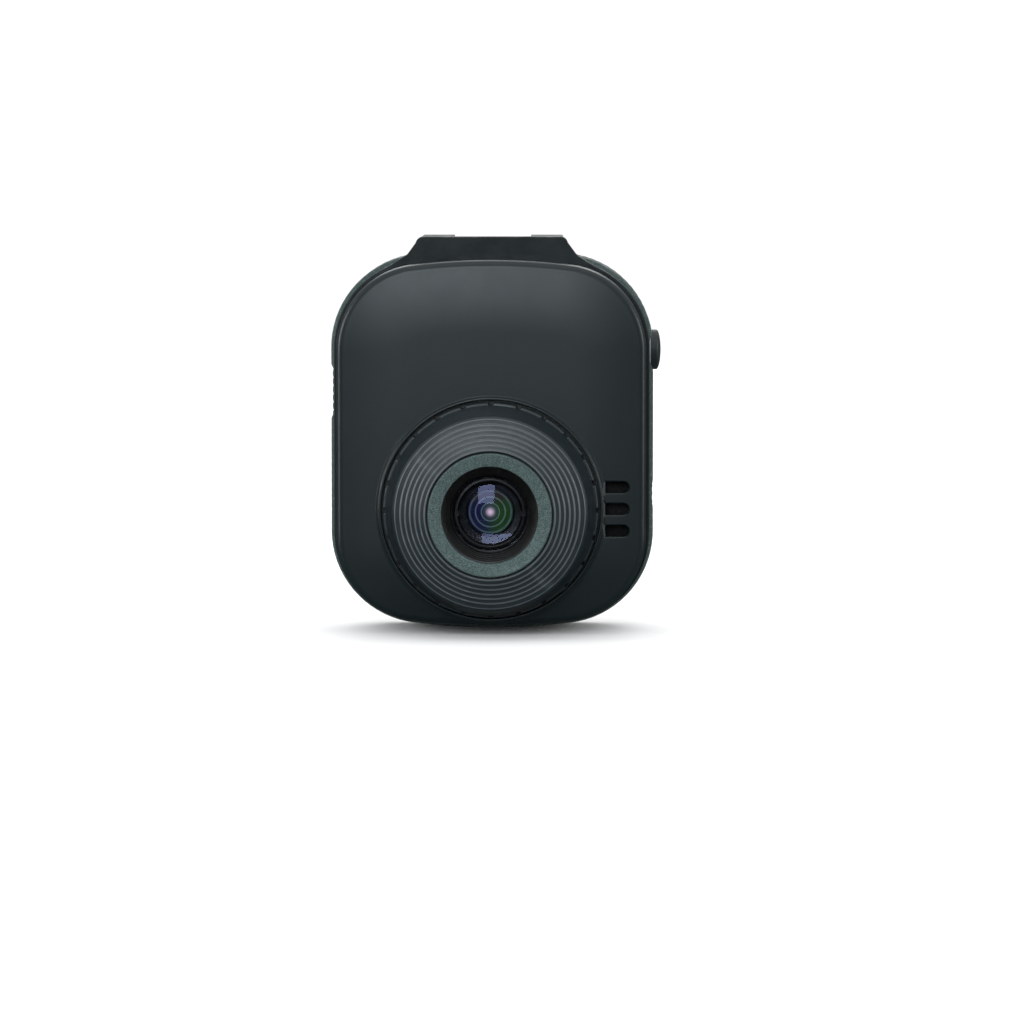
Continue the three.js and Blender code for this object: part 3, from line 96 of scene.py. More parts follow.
@dataclass(frozen=True)
class Span:
    """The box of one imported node, in millimetres."""

    low: Point
    high: Point

    @classmethod
    def of(cls, node: str) -> "Span":
        """Return the span of a node."""
        low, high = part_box(node)
        return cls(tuple(v / METRE for v in low), tuple(v / METRE for v in high))

    @property
    def middle(self) -> Point:
        """The box's middle."""
        return tuple((a + b) / 2 for a, b in zip(self.low, self.high))

    @property
    def size(self) -> Point:
        """The box's full sizes."""
        return tuple(b - a for a, b in zip(self.low, self.high))

    @property
    def spot(self) -> Pair:
        """The middle's x and z, for what runs front to back."""
        return (self.middle[0], self.middle[2])

    @property
    def side_spot(self) -> Pair:
        """The middle's y and z, for what runs side to side."""
        return (self.middle[1], self.middle[2])


COVER = Span.of("front_cover")
FRAME = Span.of("mid_frame")
REAR = Span.of("rear_housing")
TRIM = Span.of("lens_trim_ring")
LENS_X = 0.0
LENS_Z = TRIM.middle[2]
COVER_BACK = COVER.high[1]
FRAME_FRONT = COVER_BACK + 0.35
FRAME_BACK = REAR.low[1] - 0.3
COLLAR_FRONT = COVER.low[1]
FACE_Y = COLLAR_FRONT + 1.0
REAR_BACK = REAR.high[1]


# ---- The casing's outline ----

@dataclass(frozen=True)
class Outline:
    """The casing's outline: straight sides, gentle arcs above and below, tangent corners."""

    half_width: float = REAR.high[0]
    half_height: float = 29.35
    middle: float = REAR.low[2] + 29.35
    corner: float = 14.5
    edge: float = 100.0

    def _stretches(self) -> list[tuple[float, Callable[[float], tuple[Vector, Vector]]]]:
        """Return each stretch's length, and its point and normal as a function of share."""
        side = self.half_width - self.corner
        reach = self.edge - self.corner
        lean = math.asin(side / reach)
        corner_z = reach * math.cos(lean) - self.edge + self.half_height
        edge_z = self.edge - self.half_height
        quarter = math.pi / 2

        def arc(cx: float, cz: float, radius: float, start: float, end: float):
            """Return an arc's length and its function."""
            def at(share: float) -> tuple[Vector, Vector]:
                """Return the arc's point and outward normal."""
                angle = start + (end - start) * share
                normal = Vector((math.cos(angle), math.sin(angle)))
                return Vector((cx, self.middle + cz)) + normal * radius, normal
            return abs(end - start) * radius, at

        def straight(x: float, z0: float, z1: float):
            """Return a side's length and its function."""
            def at(share: float) -> tuple[Vector, Vector]:
                """Return the side's point and outward normal."""
                point = Vector((x, self.middle + z0 + (z1 - z0) * share))
                return point, Vector((math.copysign(1.0, x), 0.0))
            return abs(z1 - z0), at

        return [
            arc(0.0, edge_z, self.edge, -quarter, -quarter + lean),
            arc(side, -corner_z, self.corner, -quarter + lean, 0.0),
            straight(self.half_width, -corner_z, corner_z),
            arc(side, corner_z, self.corner, 0.0, quarter - lean),
            arc(0.0, -edge_z, self.edge, quarter - lean, quarter + lean),
            arc(-side, corner_z, self.corner, quarter + lean, 2 * quarter),
            straight(-self.half_width, corner_z, -corner_z),
            arc(-side, -corner_z, self.corner, 2 * quarter, 3 * quarter - lean),
            arc(0.0, edge_z, self.edge, 3 * quarter - lean, 3 * quarter),
        ]

    def length(self) -> float:
        """Return how far it is round the outline."""
        return sum(length for length, _ in self._stretches())

    def samples(self, count: int) -> list[tuple[Vector, Vector]]:
        """Return evenly spaced points and outward normals round the outline.

        Args:
            count: how many samples go round.

        Returns:
            Pairs of point and normal, in X and Z.
        """
        stretches = self._stretches()
        total = sum(length for length, _ in stretches)
        found = []
        for i in range(count):
            along = total * (i + 0.5) / count
            for length, at in stretches:
                if along <= length:
                    found.append(at(along / length))
                    break
                along -= length
        return found

    def ring(self, y: float, inset: float, count: int,
             relief: Callable[[int], float] | None = None) -> list[Point]:
        """Return one closed ring of points at a depth, moved inwards by an inset.

        Args:
            y: the ring's depth.
            inset: how far inside the outline it lies.
            count: how many points go round.
            relief: the extra inset of each point by its number, or None.

        Returns:
            The ring's points.
        """
        points = []
        for i, (point, normal) in enumerate(self.samples(count)):
            x, z = point - normal * (inset + (relief(i) if relief else 0.0))
            points.append((x, y, z))
        return points


OUTLINE = Outline()
OUTLINE_POINTS = 320


# ---- Mesh making ----

class Axis(Enum):
    """The line that a turned or extruded piece runs along."""

    ALONG_X = "x"
    ALONG_Y = "y"
    ALONG_Z = "z"

    def place(self, across: float, up: float, along: float) -> Point:
        """Return the point at two distances across the axis and one along it."""
        if self is Axis.ALONG_X:
            return (along, across, up)
        if self is Axis.ALONG_Y:
            return (across, along, up)
        return (across, up, along)


def filleted(corners: Sequence[tuple[float, float, float]], closed: bool = True,
             steps: int = 5) -> Profile:
    """Round the corners of a profile.

    Args:
        corners: each corner's two coordinates and radius, 0 for a sharp one.
        closed: whether the last corner joins the first.
        steps: how many stretches an arc has.

    Returns:
        The profile's points.
    """
    out: Profile = []
    total = len(corners)
    for i, (x, y, radius) in enumerate(corners):
        here = Vector((x, y))
        if radius <= 0 or (not closed and i in (0, total - 1)):
            out.append((x, y))
            continue
        before = Vector(corners[i - 1][:2]) - here
        after = Vector(corners[(i + 1) % total][:2]) - here
        half = before.angle(after) / 2
        if half < 1e-4 or abs(half - math.pi / 2) < 1e-3:
            out.append((x, y))
            continue
        run = min(radius / math.tan(half), before.length * 0.49, after.length * 0.49)
        reach = run / math.cos(half)
        centre = here + (before.normalized() + after.normalized()).normalized() * reach
        start = here + before.normalized() * run - centre
        end = here + after.normalized() * run - centre
        sweep = math.atan2(start.x * end.y - start.y * end.x, start.dot(end))
        for k in range(steps + 1):
            angle = sweep * k / steps
            cosine, sine = math.cos(angle), math.sin(angle)
            out.append((centre.x + start.x * cosine - start.y * sine,
                        centre.y + start.x * sine + start.y * cosine))
    return out


def shaded(mesh: bpy.types.Mesh, angle: float = SHARP_ANGLE) -> None:
    """Smooth a mesh's faces and keep its edges sharper than an angle crisp.

    Args:
        mesh: the mesh to shade.
        angle: the least angle between faces that stays a crease, in radians.
    """
    work = bmesh.new()
    work.from_mesh(mesh)
    bmesh.ops.remove_doubles(work, verts=work.verts, dist=WELD)
    bmesh.ops.dissolve_degenerate(work, edges=work.edges, dist=WELD)
    for face in work.faces:
        face.smooth = True
    for edge in work.edges:
        edge.smooth = len(edge.link_faces) == 2 and edge.calc_face_angle(0.0) < angle
    work.to_mesh(mesh)
    work.free()
    mesh.update()


def make_object(name: str, points: Sequence[Point], faces: Sequence[Sequence[int]],
                angle: float = SHARP_ANGLE) -> Item:
    """Make a mesh object from points in millimetres, with its normals facing out.

    Args:
        name: the object's name.
        points: vertex places.
        faces: vertex numbers of each face.
        angle: the least angle that stays a crease.

    Returns:
        The new object, in the scene.
    """
    mesh = bpy.data.meshes.new(name)
    mesh.from_pydata([tuple(v * METRE for v in point) for point in points], [],
                     [list(face) for face in faces])
    work = bmesh.new()
    work.from_mesh(mesh)
    bmesh.ops.remove_doubles(work, verts=work.verts, dist=WELD)
    bmesh.ops.recalc_face_normals(work, faces=work.faces)
    work.to_mesh(mesh)
    work.free()
    shaded(mesh, angle)
    item = bpy.data.objects.new(name, mesh)
    bpy.context.scene.collection.objects.link(item)
    return item


def loft(name: str, rings: Sequence[Sequence[Point]], loop: bool = False,
         angle: float = SHARP_ANGLE) -> Item:
    """Join rings of equal count into a closed skin.

    Args:
        name: the object's name.
        rings: the rings, in order.
        loop: whether the last ring joins the first; otherwise both get a flat cap.
        angle: the least angle that stays a crease.

    Returns:
        The new object.
    """
    count = len(rings[0])
    points = [point for ring in rings for point in ring]
    faces: list[list[int]] = []
    for level in range(len(rings) if loop else len(rings) - 1):
        low = level * count
        high = ((level + 1) % len(rings)) * count
        for i in range(count):
            j = (i + 1) % count
            faces.append([low + i, low + j, high + j, high + i])
    if not loop:
        faces.append(list(range(count)))
        faces.append(list(range((len(rings) - 1) * count, len(rings) * count)))
    return make_object(name, points, faces, angle)


def turned(name: str, profile: Profile, centre: Pair, axis: Axis = Axis.ALONG_Y,
           turns: Sequence[float] | int = ROUND_STEPS, angle: float = SHARP_ANGLE,
           ripple: Callable[[float, float], float] | None = None) -> Item:
    """Turn a profile about a line into a closed mesh.

    Args:
        name: the object's name.
        profile: (radius, along) points. One that starts and ends at radius 0 is solid, and
            any other closes on itself.
        centre: the axis's two coordinates across.
        axis: which way the axis runs.
        turns: how many stretches go round, or the angle of each.
        angle: the least angle that stays a crease.
        ripple: the change in radius by angle and radius, or None.

    Returns:
        The new object.
    """
    if isinstance(turns, int):
        turns = [2 * math.pi * i / turns for i in range(turns)]
    steps = len(turns)
    solid = profile[0][0] == 0.0 and profile[-1][0] == 0.0
    body = profile[1:-1] if solid else profile
    points: list[Point] = []
    for radius, along in body:
        for turn in turns:
            grown = radius + (ripple(turn, radius) if ripple else 0.0)
            points.append(axis.place(centre[0] + grown * math.sin(turn),
                                     centre[1] + grown * math.cos(turn), along))
    faces: list[list[int]] = []
    for level in range(len(body) - 1 if solid else len(body)):
        low = level * steps
        high = ((level + 1) % len(body)) * steps
        for i in range(steps):
            j = (i + 1) % steps
            faces.append([low + i, low + j, high + j, high + i])
    if solid:
        first = len(points)
        last = (len(body) - 1) * steps
        points.append(axis.place(centre[0], centre[1], profile[0][1]))
        points.append(axis.place(centre[0], centre[1], profile[-1][1]))
        for i in range(steps):
            j = (i + 1) % steps
            faces.append([first, j, i])
            faces.append([first + 1, last + i, last + j])
    return make_object(name, points, faces, angle)


def pill(width: float, height: float, radius: float, steps: int = 10) -> Profile:
    """Return a rectangle with round corners about the origin.

    Args:
        width: full width.
        height: full height.
        radius: corner radius.
        steps: stretches in each corner.

    Returns:
        The outline's points.
    """
    radius = max(min(radius, width / 2 - 0.001, height / 2 - 0.001), 0.02)
    points: Profile = []
    for quarter, (right, up) in enumerate(((1, 1), (-1, 1), (-1, -1), (1, -1))):
        for k in range(steps + 1):
            angle = math.pi / 2 * (quarter + k / steps)
            points.append((right * (width / 2 - radius) + radius * math.cos(angle),
                           up * (height / 2 - radius) + radius * math.sin(angle)))
    return points


def slab(name: str, centre: Pair, size: tuple[float, float, float],
         levels: Sequence[Pair], axis: Axis = Axis.ALONG_Y,
         steps: int = 10) -> Item:
    """Make a slab with a round-cornered outline and shaped sides.

    Args:
        name: the object's name.
        centre: its centre across the axis.
        size: width, height and corner radius.
        levels: (along, inset) of each ring of the sides, in order.
        axis: the line it is extruded along.
        steps: stretches in each corner.

    Returns:
        The new object.
    """
    width, height, radius = size
    rings = []
    for along, inset in levels:
        points = pill(width - 2 * inset, height - 2 * inset, radius - inset, steps)
        rings.append([axis.place(centre[0] + u, centre[1] + v, along) for u, v in points])
    return loft(name, rings)


def eased(start: float, end: float, radius: float, at_start: bool = True, at_end: bool = True,
          steps: int = 4) -> list[Pair]:
    """Return the levels of a slab whose rims are rounded.

    Args:
        start: where it starts along its axis.
        end: where it ends.
        radius: the rims' radius.
        at_start: whether the first rim is rounded.
        at_end: whether the last rim is.
        steps: stretches in each round.

    Returns:
        (along, inset) levels for ``slab``.
    """
    way = math.copysign(radius, end - start)
    quarters = [math.pi / 2 * k / steps for k in range(steps + 1)]
    first = [(start + way * (1 - math.cos(a)), radius * (1 - math.sin(a))) for a in quarters]
    last = [(end - way * (1 - math.sin(a)), radius * (1 - math.cos(a))) for a in quarters]
    return (first if at_start else [(start, 0.0)]) + (last if at_end else [(end, 0.0)])


def rounded_box(name: str, low: Point, high: Point, radius: float,
                segments: int = 3) -> Item:
    """Make a box with rounded edges.

    Args:
        name: the object's name.
        low: its lowest corner.
        high: its highest corner.
        radius: the edges' radius.
        segments: how many stretches each round has.

    Returns:
        The new object.
    """
    points = [(x, y, z) for x in (low[0], high[0]) for y in (low[1], high[1])
              for z in (low[2], high[2])]
    faces = [(0, 1, 3, 2), (4, 6, 7, 5), (0, 4, 5, 1), (2, 3, 7, 6), (0, 2, 6, 4), (1, 5, 7, 3)]
    item = make_object(name, points, faces)
    if radius > 0:
        work = bmesh.new()
        work.from_mesh(item.data)
        bmesh.ops.bevel(work, geom=list(work.edges), offset=radius * METRE, segments=segments,
                        profile=0.5, affect="EDGES", clamp_overlap=True)
        work.to_mesh(item.data)
        work.free()
        shaded(item.data)
    return item


class Join(Enum):
    """How two solids are put together."""

    CUT = "DIFFERENCE"
    ADD = "UNION"


def combine(item: Item, tools: Iterable[Item],
            join: Join = Join.CUT, angle: float = SHARP_ANGLE) -> Item:
    """Cut solids out of another or add them to it. The tools are used up.

    Args:
        item: the solid that stays.
        tools: the solids that are cut out or added.
        join: which of the two.
        angle: the least angle that stays a crease.

    Returns:
        The same solid.
    """
    for tool in tools:
        change = item.modifiers.new(tool.name, "BOOLEAN")
        change.operation = join.value
        change.solver = "EXACT"
        change.object = tool
        graph = bpy.context.evaluated_depsgraph_get()
        graph.update()
        result = bpy.data.meshes.new_from_object(item.evaluated_get(graph))
        old = item.data
        item.modifiers.clear()
        item.data = result
        bpy.data.meshes.remove(old)
        mesh = tool.data
        bpy.data.objects.remove(tool)
        bpy.data.meshes.remove(mesh)
        shaded(result, angle)
    return item


def merged(name: str, items: Sequence[Item]) -> Item:
    """Gather the meshes of separate solids, with their materials, into one object.

    Args:
        name: the name that the result takes.
        items: the solids, which are used up.

    Returns:
        The new object.
    """
    points: list[tuple[float, float, float]] = []
    faces: list[list[int]] = []
    numbers: list[int] = []
    finishes: list[Material] = []
    for item in items:
        start = len(points)
        points.extend(tuple(vertex.co) for vertex in item.data.vertices)
        local = []
        for finish in item.data.materials:
            if finish not in finishes:
                finishes.append(finish)
            local.append(finishes.index(finish))
        for face in item.data.polygons:
            faces.append([start + v for v in face.vertices])
            numbers.append(local[face.material_index] if local else 0)
    mesh = bpy.data.meshes.new(name)
    mesh.from_pydata(points, [], faces)
    for finish in finishes:
        mesh.materials.append(finish)
    for face, number in zip(mesh.polygons, numbers):
        face.material_index = number
    for item in items:
        bpy.data.objects.remove(item)
    shaded(mesh)
    made = bpy.data.objects.new(name, mesh)
    bpy.context.scene.collection.objects.link(made)
    return made


def settle(item: Item, finish: Material | None, *nodes: str) -> Item:
    """Give a finished piece its material, its body and the nodes it stands for.

    Args:
        item: the piece.
        finish: its material, or None where its faces have theirs already.
        nodes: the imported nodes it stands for; the first gives its body and slot.

    Returns:
        The same piece.
    """
    if finish is not None:
        item.data.materials.clear()
        item.data.materials.append(finish)
    normals = item.modifiers.new("weighted_normals", "WEIGHTED_NORMAL")
    normals.keep_sharp = True
    item.name = f"{nodes[0]}_fine"
    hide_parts(*nodes)
    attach(item, BODY_OF[nodes[0]])
    LOG.info("%s: %d faces on body %s", item.name, len(item.data.polygons), BODY_OF[nodes[0]])
    return item


# ---- Shader graphs ----

class Graph:
    """A hand for adding and linking nodes in one node tree."""

    def __init__(self, tree: bpy.types.NodeTree) -> None:
        """Keep the tree that nodes are added to."""
        self.tree = tree

    def add(self, kind: str, inputs: dict[str | int, Value] | None = None,
            **settings: object) -> Node:
        """Add a node.

        Args:
            kind: the node's type.
            inputs: values or sockets for its inputs, by name or number.
            settings: its properties.

        Returns:
            The new node.
        """
        node = self.tree.nodes.new(kind)
        for key, value in settings.items():
            setattr(node, key, value)
        for key, value in (inputs or {}).items():
            if isinstance(value, Socket):
                self.tree.links.new(value, node.inputs[key])
            else:
                node.inputs[key].default_value = value
        return node

    def math(self, operation: str, first: Value, second: Value = 0.0,
             clamp: bool = False) -> Socket:
        """Return the result of a sum on two values."""
        node = self.add("ShaderNodeMath", {0: first, 1: second}, operation=operation, use_clamp=clamp)
        return node.outputs[0]

    def times(self, first: Value, second: Value, clamp: bool = False) -> Socket:
        """Return the product of two values."""
        return self.math("MULTIPLY", first, second, clamp)

    def blend(self, share: Value, first: Value, second: Value) -> Socket:
        """Return a colour between two, by share."""
        return self.add("ShaderNodeMix", {0: share, 6: first, 7: second}, data_type="RGBA").outputs[2]

    def between(self, share: Value, low: float, high: float, start: float = 0.0,
                end: float = 1.0) -> Socket:
        """Return a value mapped from one range to another.

        Args:
            share: the value.
            low: what ``start`` becomes.
            high: what ``end`` becomes.
            start: the range's start.
            end: the range's end.

        Returns:
            The mapped value.
        """
        node = self.add("ShaderNodeMapRange", {0: share, 1: start, 2: end, 3: low, 4: high},
                        interpolation_type="SMOOTHSTEP")
        return node.outputs[0]

    def place(self) -> Socket:
        """Return the surface's own coordinates, in metres."""
        return self.add("ShaderNodeTexCoord").outputs["Object"]

    def about_lens(self) -> tuple[Node, Socket]:
        """Return the place seen from the lens, split by axis, and its distance from the lens axis."""
        lens = (LENS_X * METRE, 0.0, LENS_Z * METRE)
        offset = self.add("ShaderNodeVectorMath", {0: self.place(), 1: lens}, operation="SUBTRACT")
        parts = self.add("ShaderNodeSeparateXYZ", {0: offset.outputs[0]})
        flat = self.add("ShaderNodeCombineXYZ", {0: parts.outputs["X"], 2: parts.outputs["Z"]})
        length = self.add("ShaderNodeVectorMath", {0: flat.outputs[0]}, operation="LENGTH")
        return parts, length.outputs["Value"]

    def noise(self, scale: Value, detail: float = 3.0, vector: Value | None = None,
              rough: float = 0.55) -> Socket:
        """Return a noise value from 0 to 1."""
        inputs: dict[str | int, Value] = {"Scale": scale, "Detail": detail, "Roughness": rough}
        inputs["Vector"] = self.place() if vector is None else vector
        return self.add("ShaderNodeTexNoise", inputs).outputs["Fac"]


class Effects:
    """The node groups that several materials share, each built once."""

    def __init__(self) -> None:
        """Build every group."""
        self.grain = self._group("moulded_grain", {"Scale": 4000.0}, ("Height", "Fleck"), self._grain)
        self.wear = self._group("edge_wear", {"Amount": 0.5}, ("Mask",), self._wear)
        self.mottle = self._group("mottle", {"Scale": 150.0}, ("Value",), self._mottle)
        self.dust = self._group("dust", {"Amount": 0.3}, ("Mask",), self._dust)
        self.lathe = self._group("lathe_lines", {"Pitch": 0.00012}, ("Height",), self._lathe)
        self.sparkle = self._group("blasted_sparkle", {"Scale": 9000.0}, ("Height", "Glint"),
                                   self._sparkle)
        self.hairlines = self._group("hairlines", {"Scale": 300.0}, ("Mask",), self._hairlines)

    def _group(self, name: str, inputs: dict[str, float], outputs: Sequence[str],
               fill: Callable[[Graph, Node], dict[str, Value]]) -> bpy.types.NodeTree:
        """Build one group.

        Args:
            name: its name.
            inputs: its inputs and their defaults.
            outputs: its outputs' names.
            fill: makes the nodes, and returns the socket of each output.

        Returns:
            The group's tree.
        """
        tree = bpy.data.node_groups.new(name, "ShaderNodeTree")
        for key, value in inputs.items():
            socket = tree.interface.new_socket(name=key, in_out="INPUT", socket_type="NodeSocketFloat")
            socket.default_value = value
        for key in outputs:
            tree.interface.new_socket(name=key, in_out="OUTPUT", socket_type="NodeSocketFloat")
        entry = tree.nodes.new("NodeGroupInput")
        leave = tree.nodes.new("NodeGroupOutput")
        for key, value in fill(Graph(tree), entry).items():
            tree.links.new(value, leave.inputs[key])
        return tree

    def _grain(self, graph: Graph, entry: Node) -> dict[str, Value]:
        """Fine moulded grain, and a scatter of paler flecks."""
        scale = entry.outputs["Scale"]
        height = graph.noise(scale, 4.0, rough=0.65)
        cells = graph.add("ShaderNodeTexVoronoi", {
            "Vector": graph.place(), "Scale": graph.times(scale, 0.6)})
        fleck = graph.math("SUBTRACT", 1.0, graph.between(cells.outputs["Distance"], 0.0, 1.0, 0.08, 0.5))
        chosen = graph.between(graph.noise(graph.times(scale, 0.2), 2.0), 0.0, 1.0, 0.35, 0.65)
        return {"Height": height, "Fleck": graph.times(fleck, chosen)}

    def _wear(self, graph: Graph, entry: Node) -> dict[str, Value]:
        """A broken mask along the convex edges."""
        geometry = graph.add("ShaderNodeNewGeometry")
        edge = graph.between(geometry.outputs["Pointiness"], 0.0, 1.0, 0.52, 0.60)
        broken = graph.between(graph.noise(900.0, 3.0), 0.25, 1.0, 0.3, 0.7)
        mask = graph.times(edge, broken)
        return {"Mask": graph.times(mask, entry.outputs["Amount"], clamp=True)}

    def _mottle(self, graph: Graph, entry: Node) -> dict[str, Value]:
        """Slow cloudy variation."""
        scale = entry.outputs["Scale"]
        slow = graph.noise(scale, 4.0)
        quick = graph.noise(graph.times(scale, 7.0), 2.0)
        total = graph.math("ADD", graph.times(slow, 0.7), graph.times(quick, 0.3))
        return {"Value": graph.between(total, 0.0, 1.0, 0.3, 0.7)}

    def _dust(self, graph: Graph, entry: Node) -> dict[str, Value]:
        """A thin mask of dust that settles on what faces up."""
        normal = graph.add("ShaderNodeNewGeometry").outputs["Normal"]
        upward = graph.between(graph.add("ShaderNodeSeparateXYZ", {0: normal}).outputs["Z"],
                               0.0, 1.0, 0.25, 1.0)
        specks = graph.between(graph.noise(2600.0, 4.0, rough=0.7), 0.15, 1.0, 0.45, 0.75)
        mask = graph.times(upward, specks)
        return {"Mask": graph.times(mask, entry.outputs["Amount"], clamp=True)}

    def _lathe(self, graph: Graph, entry: Node) -> dict[str, Value]:
        """Fine rings about the lens axis, as a lathe tool leaves."""
        parts, radius = graph.about_lens()
        along = graph.math("ADD", radius, parts.outputs["Y"])
        count = graph.math("DIVIDE", along, entry.outputs["Pitch"])
        lines = graph.add("ShaderNodeTexNoise", {"W": count, "Scale": 1.0, "Detail": 2.0},
                          noise_dimensions="1D")
        return {"Height": lines.outputs["Fac"]}

    def _sparkle(self, graph: Graph, entry: Node) -> dict[str, Value]:
        """The pitted surface that bead blasting leaves, and a painted glint on single pits."""
        scale = entry.outputs["Scale"]
        pits = graph.add("ShaderNodeTexVoronoi", {"Vector": graph.place(), "Scale": scale})
        # The random pick of pits that get the painted glint.
        shade = graph.add("ShaderNodeSeparateColor", {0: pits.outputs["Color"]}).outputs[0]
        height = graph.math("ADD", pits.outputs["Distance"],
                            graph.times(graph.noise(graph.times(scale, 0.5)), 0.6))
        return {"Height": height, "Glint": shade}

    def _hairlines(self, graph: Graph, entry: Node) -> dict[str, Value]:
        """Faint short scratches, as handling and cloths leave."""
        scale = entry.outputs["Scale"]
        bent = graph.add("ShaderNodeVectorMath", {0: graph.place(), 1: (1.0, 1.0, 0.06)},
                         operation="MULTIPLY").outputs[0]
        fine = graph.noise(graph.times(scale, 30.0), 1.0, bent)
        patches = graph.between(graph.noise(scale, 2.0), 0.0, 1.0, 0.5, 0.68)
        return {"Mask": graph.times(graph.between(fine, 0.0, 1.0, 0.66, 0.72), patches)}


EFFECTS = Effects()


@dataclass(frozen=True)
class Finish:
    """What every finish has: a name, a colour, a roughness, and how the surface varies."""

    name: str
    colour: Colour
    roughness: float
    metallic: float = 0.0
    relief: float = 0.010
    grain: float = 5000.0
    wear: float = 0.25
    dust: float = 0.10
    variation: float = 0.25
    specular: float = 0.5
    coat: float = 0.0
    coat_roughness: float = 0.12
    cloud_shade: float = 0.93
    worn_gain: float = 2.2
    worn_lift: float = 0.02
    dust_colour: Colour = (150, 148, 142)

    def effect(self, graph: Graph, group: bpy.types.NodeTree, **inputs: Value) -> Node:
        """Place a shared effect in the material with its own values."""
        node = graph.add("ShaderNodeGroup", node_tree=group)
        for key, value in inputs.items():
            node.inputs[key].default_value = value
        return node

    def relief_height(self, graph: Graph) -> Value:
        """Return the height of the surface's fine relief."""
        return self.effect(graph, EFFECTS.grain, Scale=self.grain).outputs["Height"]

    def surface_colour(self, graph: Graph) -> Value:
        """Return the colour of clean surface, before wear and dust."""
        base = linear(self.colour)
        darker = tuple(channel * self.cloud_shade for channel in base[:3]) + (1.0,)
        cloud = self.effect(graph, EFFECTS.mottle, Scale=120.0).outputs["Value"]
        return graph.blend(cloud, darker, base)

    def material(self) -> Material:
        """Build the material.

        Returns:
            The new material.
        """
        made = bpy.data.materials.new(f"{self.name}_finish")
        made.use_nodes = True
        made.node_tree.nodes.clear()
        graph = Graph(made.node_tree)
        base = linear(self.colour)
        worn = tuple(min(channel * self.worn_gain + self.worn_lift, 1.0) for channel in base[:3]) + (1.0,)
        edge = self.effect(graph, EFFECTS.wear, Amount=self.wear).outputs["Mask"]
        dusty = self.effect(graph, EFFECTS.dust, Amount=self.dust).outputs["Mask"]
        colour = graph.blend(edge, self.surface_colour(graph), worn)
        colour = graph.blend(dusty, colour, linear(self.dust_colour))
        cloud = self.effect(graph, EFFECTS.mottle, Scale=260.0).outputs["Value"]
        low = self.roughness * (1 - self.variation)
        high = min(self.roughness * (1 + self.variation), 1.0)
        rough = graph.between(cloud, low, high)
        scuffed = self.effect(graph, EFFECTS.hairlines, Scale=220.0).outputs["Mask"]
        rough = graph.math("ADD", rough, graph.times(scuffed, 0.10), clamp=True)
        shader = graph.add("ShaderNodeBsdfPrincipled", {
            "Base Color": colour, "Roughness": rough, "Metallic": self.metallic,
            "Specular IOR Level": self.specular, "Coat Weight": self.coat,
            "Coat Roughness": self.coat_roughness})
        if self.relief > 0:
            bump = graph.add("ShaderNodeBump", {
                "Height": self.relief_height(graph), "Distance": self.relief * METRE})
            made.node_tree.links.new(bump.outputs[0], shader.inputs["Normal"])
        self.finish_shader(shader)
        graph.add("ShaderNodeOutputMaterial", {"Surface": shader.outputs[0]})
        return made

    def finish_shader(self, shader: Node) -> None:
        """Set what only some finishes need; the plain finish needs nothing."""


@dataclass(frozen=True)
class FleckedPlastic(Finish):
    """Rough moulded plastic with paler flecks through it."""

    fleck: Colour = (128, 138, 132)
    amount: float = 0.6

    def surface_colour(self, graph: Graph) -> Value:
        """Return the clouded base with flecks over it."""
        plain = super().surface_colour(graph)
        specks = self.effect(graph, EFFECTS.grain, Scale=self.grain).outputs["Fleck"]
        return graph.blend(graph.times(specks, self.amount), plain, linear(self.fleck))


@dataclass(frozen=True)
class TurnedMetal(Finish):
    """Metal off a lathe, with fine rings about the lens axis."""

    pitch: float = 0.12

    def relief_height(self, graph: Graph) -> Value:
        """Return the tool's fine rings."""
        return self.effect(graph, EFFECTS.lathe, Pitch=self.pitch * METRE).outputs["Height"]


@dataclass(frozen=True)
class BlastedMetal(Finish):
    """Bead-blasted metal, matt, with a painted glint on single pits."""

    painted_glint: Colour = (92, 110, 108)

    def relief_height(self, graph: Graph) -> Value:
        """Return the pitted surface."""
        return self.effect(graph, EFFECTS.sparkle, Scale=self.grain).outputs["Height"]

    def surface_colour(self, graph: Graph) -> Value:
        """Return the base with a painted glint on single pits."""
        plain = super().surface_colour(graph)
        pits = self.effect(graph, EFFECTS.sparkle, Scale=self.grain).outputs["Glint"]
        # Painted glint: single random pits lifted to a paler colour.
        bright = graph.between(pits, 0.0, 1.0, 0.45, 1.0)
        return graph.blend(bright, plain, linear(self.painted_glint))


@dataclass(frozen=True)
class ClearGlass(Finish):
    """Coated optical glass: clear, with a tinted reflection."""

    tint: Colour = (140, 146, 190)
    index: float = 1.52
    reflection: float = 0.02

    def surface_colour(self, graph: Graph) -> Value:
        """Return near-clear glass with the faintest smear."""
        smear = self.effect(graph, EFFECTS.mottle, Scale=180.0).outputs["Value"]
        return graph.blend(smear, (0.94, 0.95, 0.97, 1.0), (1.0, 1.0, 1.0, 1.0))

    def finish_shader(self, shader: Node) -> None:
        """Let light through, and tint what is reflected."""
        shader.inputs["Transmission Weight"].default_value = 1.0
        shader.inputs["IOR"].default_value = self.index
        shader.inputs["Specular IOR Level"].default_value = self.reflection
        shader.inputs["Specular Tint"].default_value = linear(self.tint)


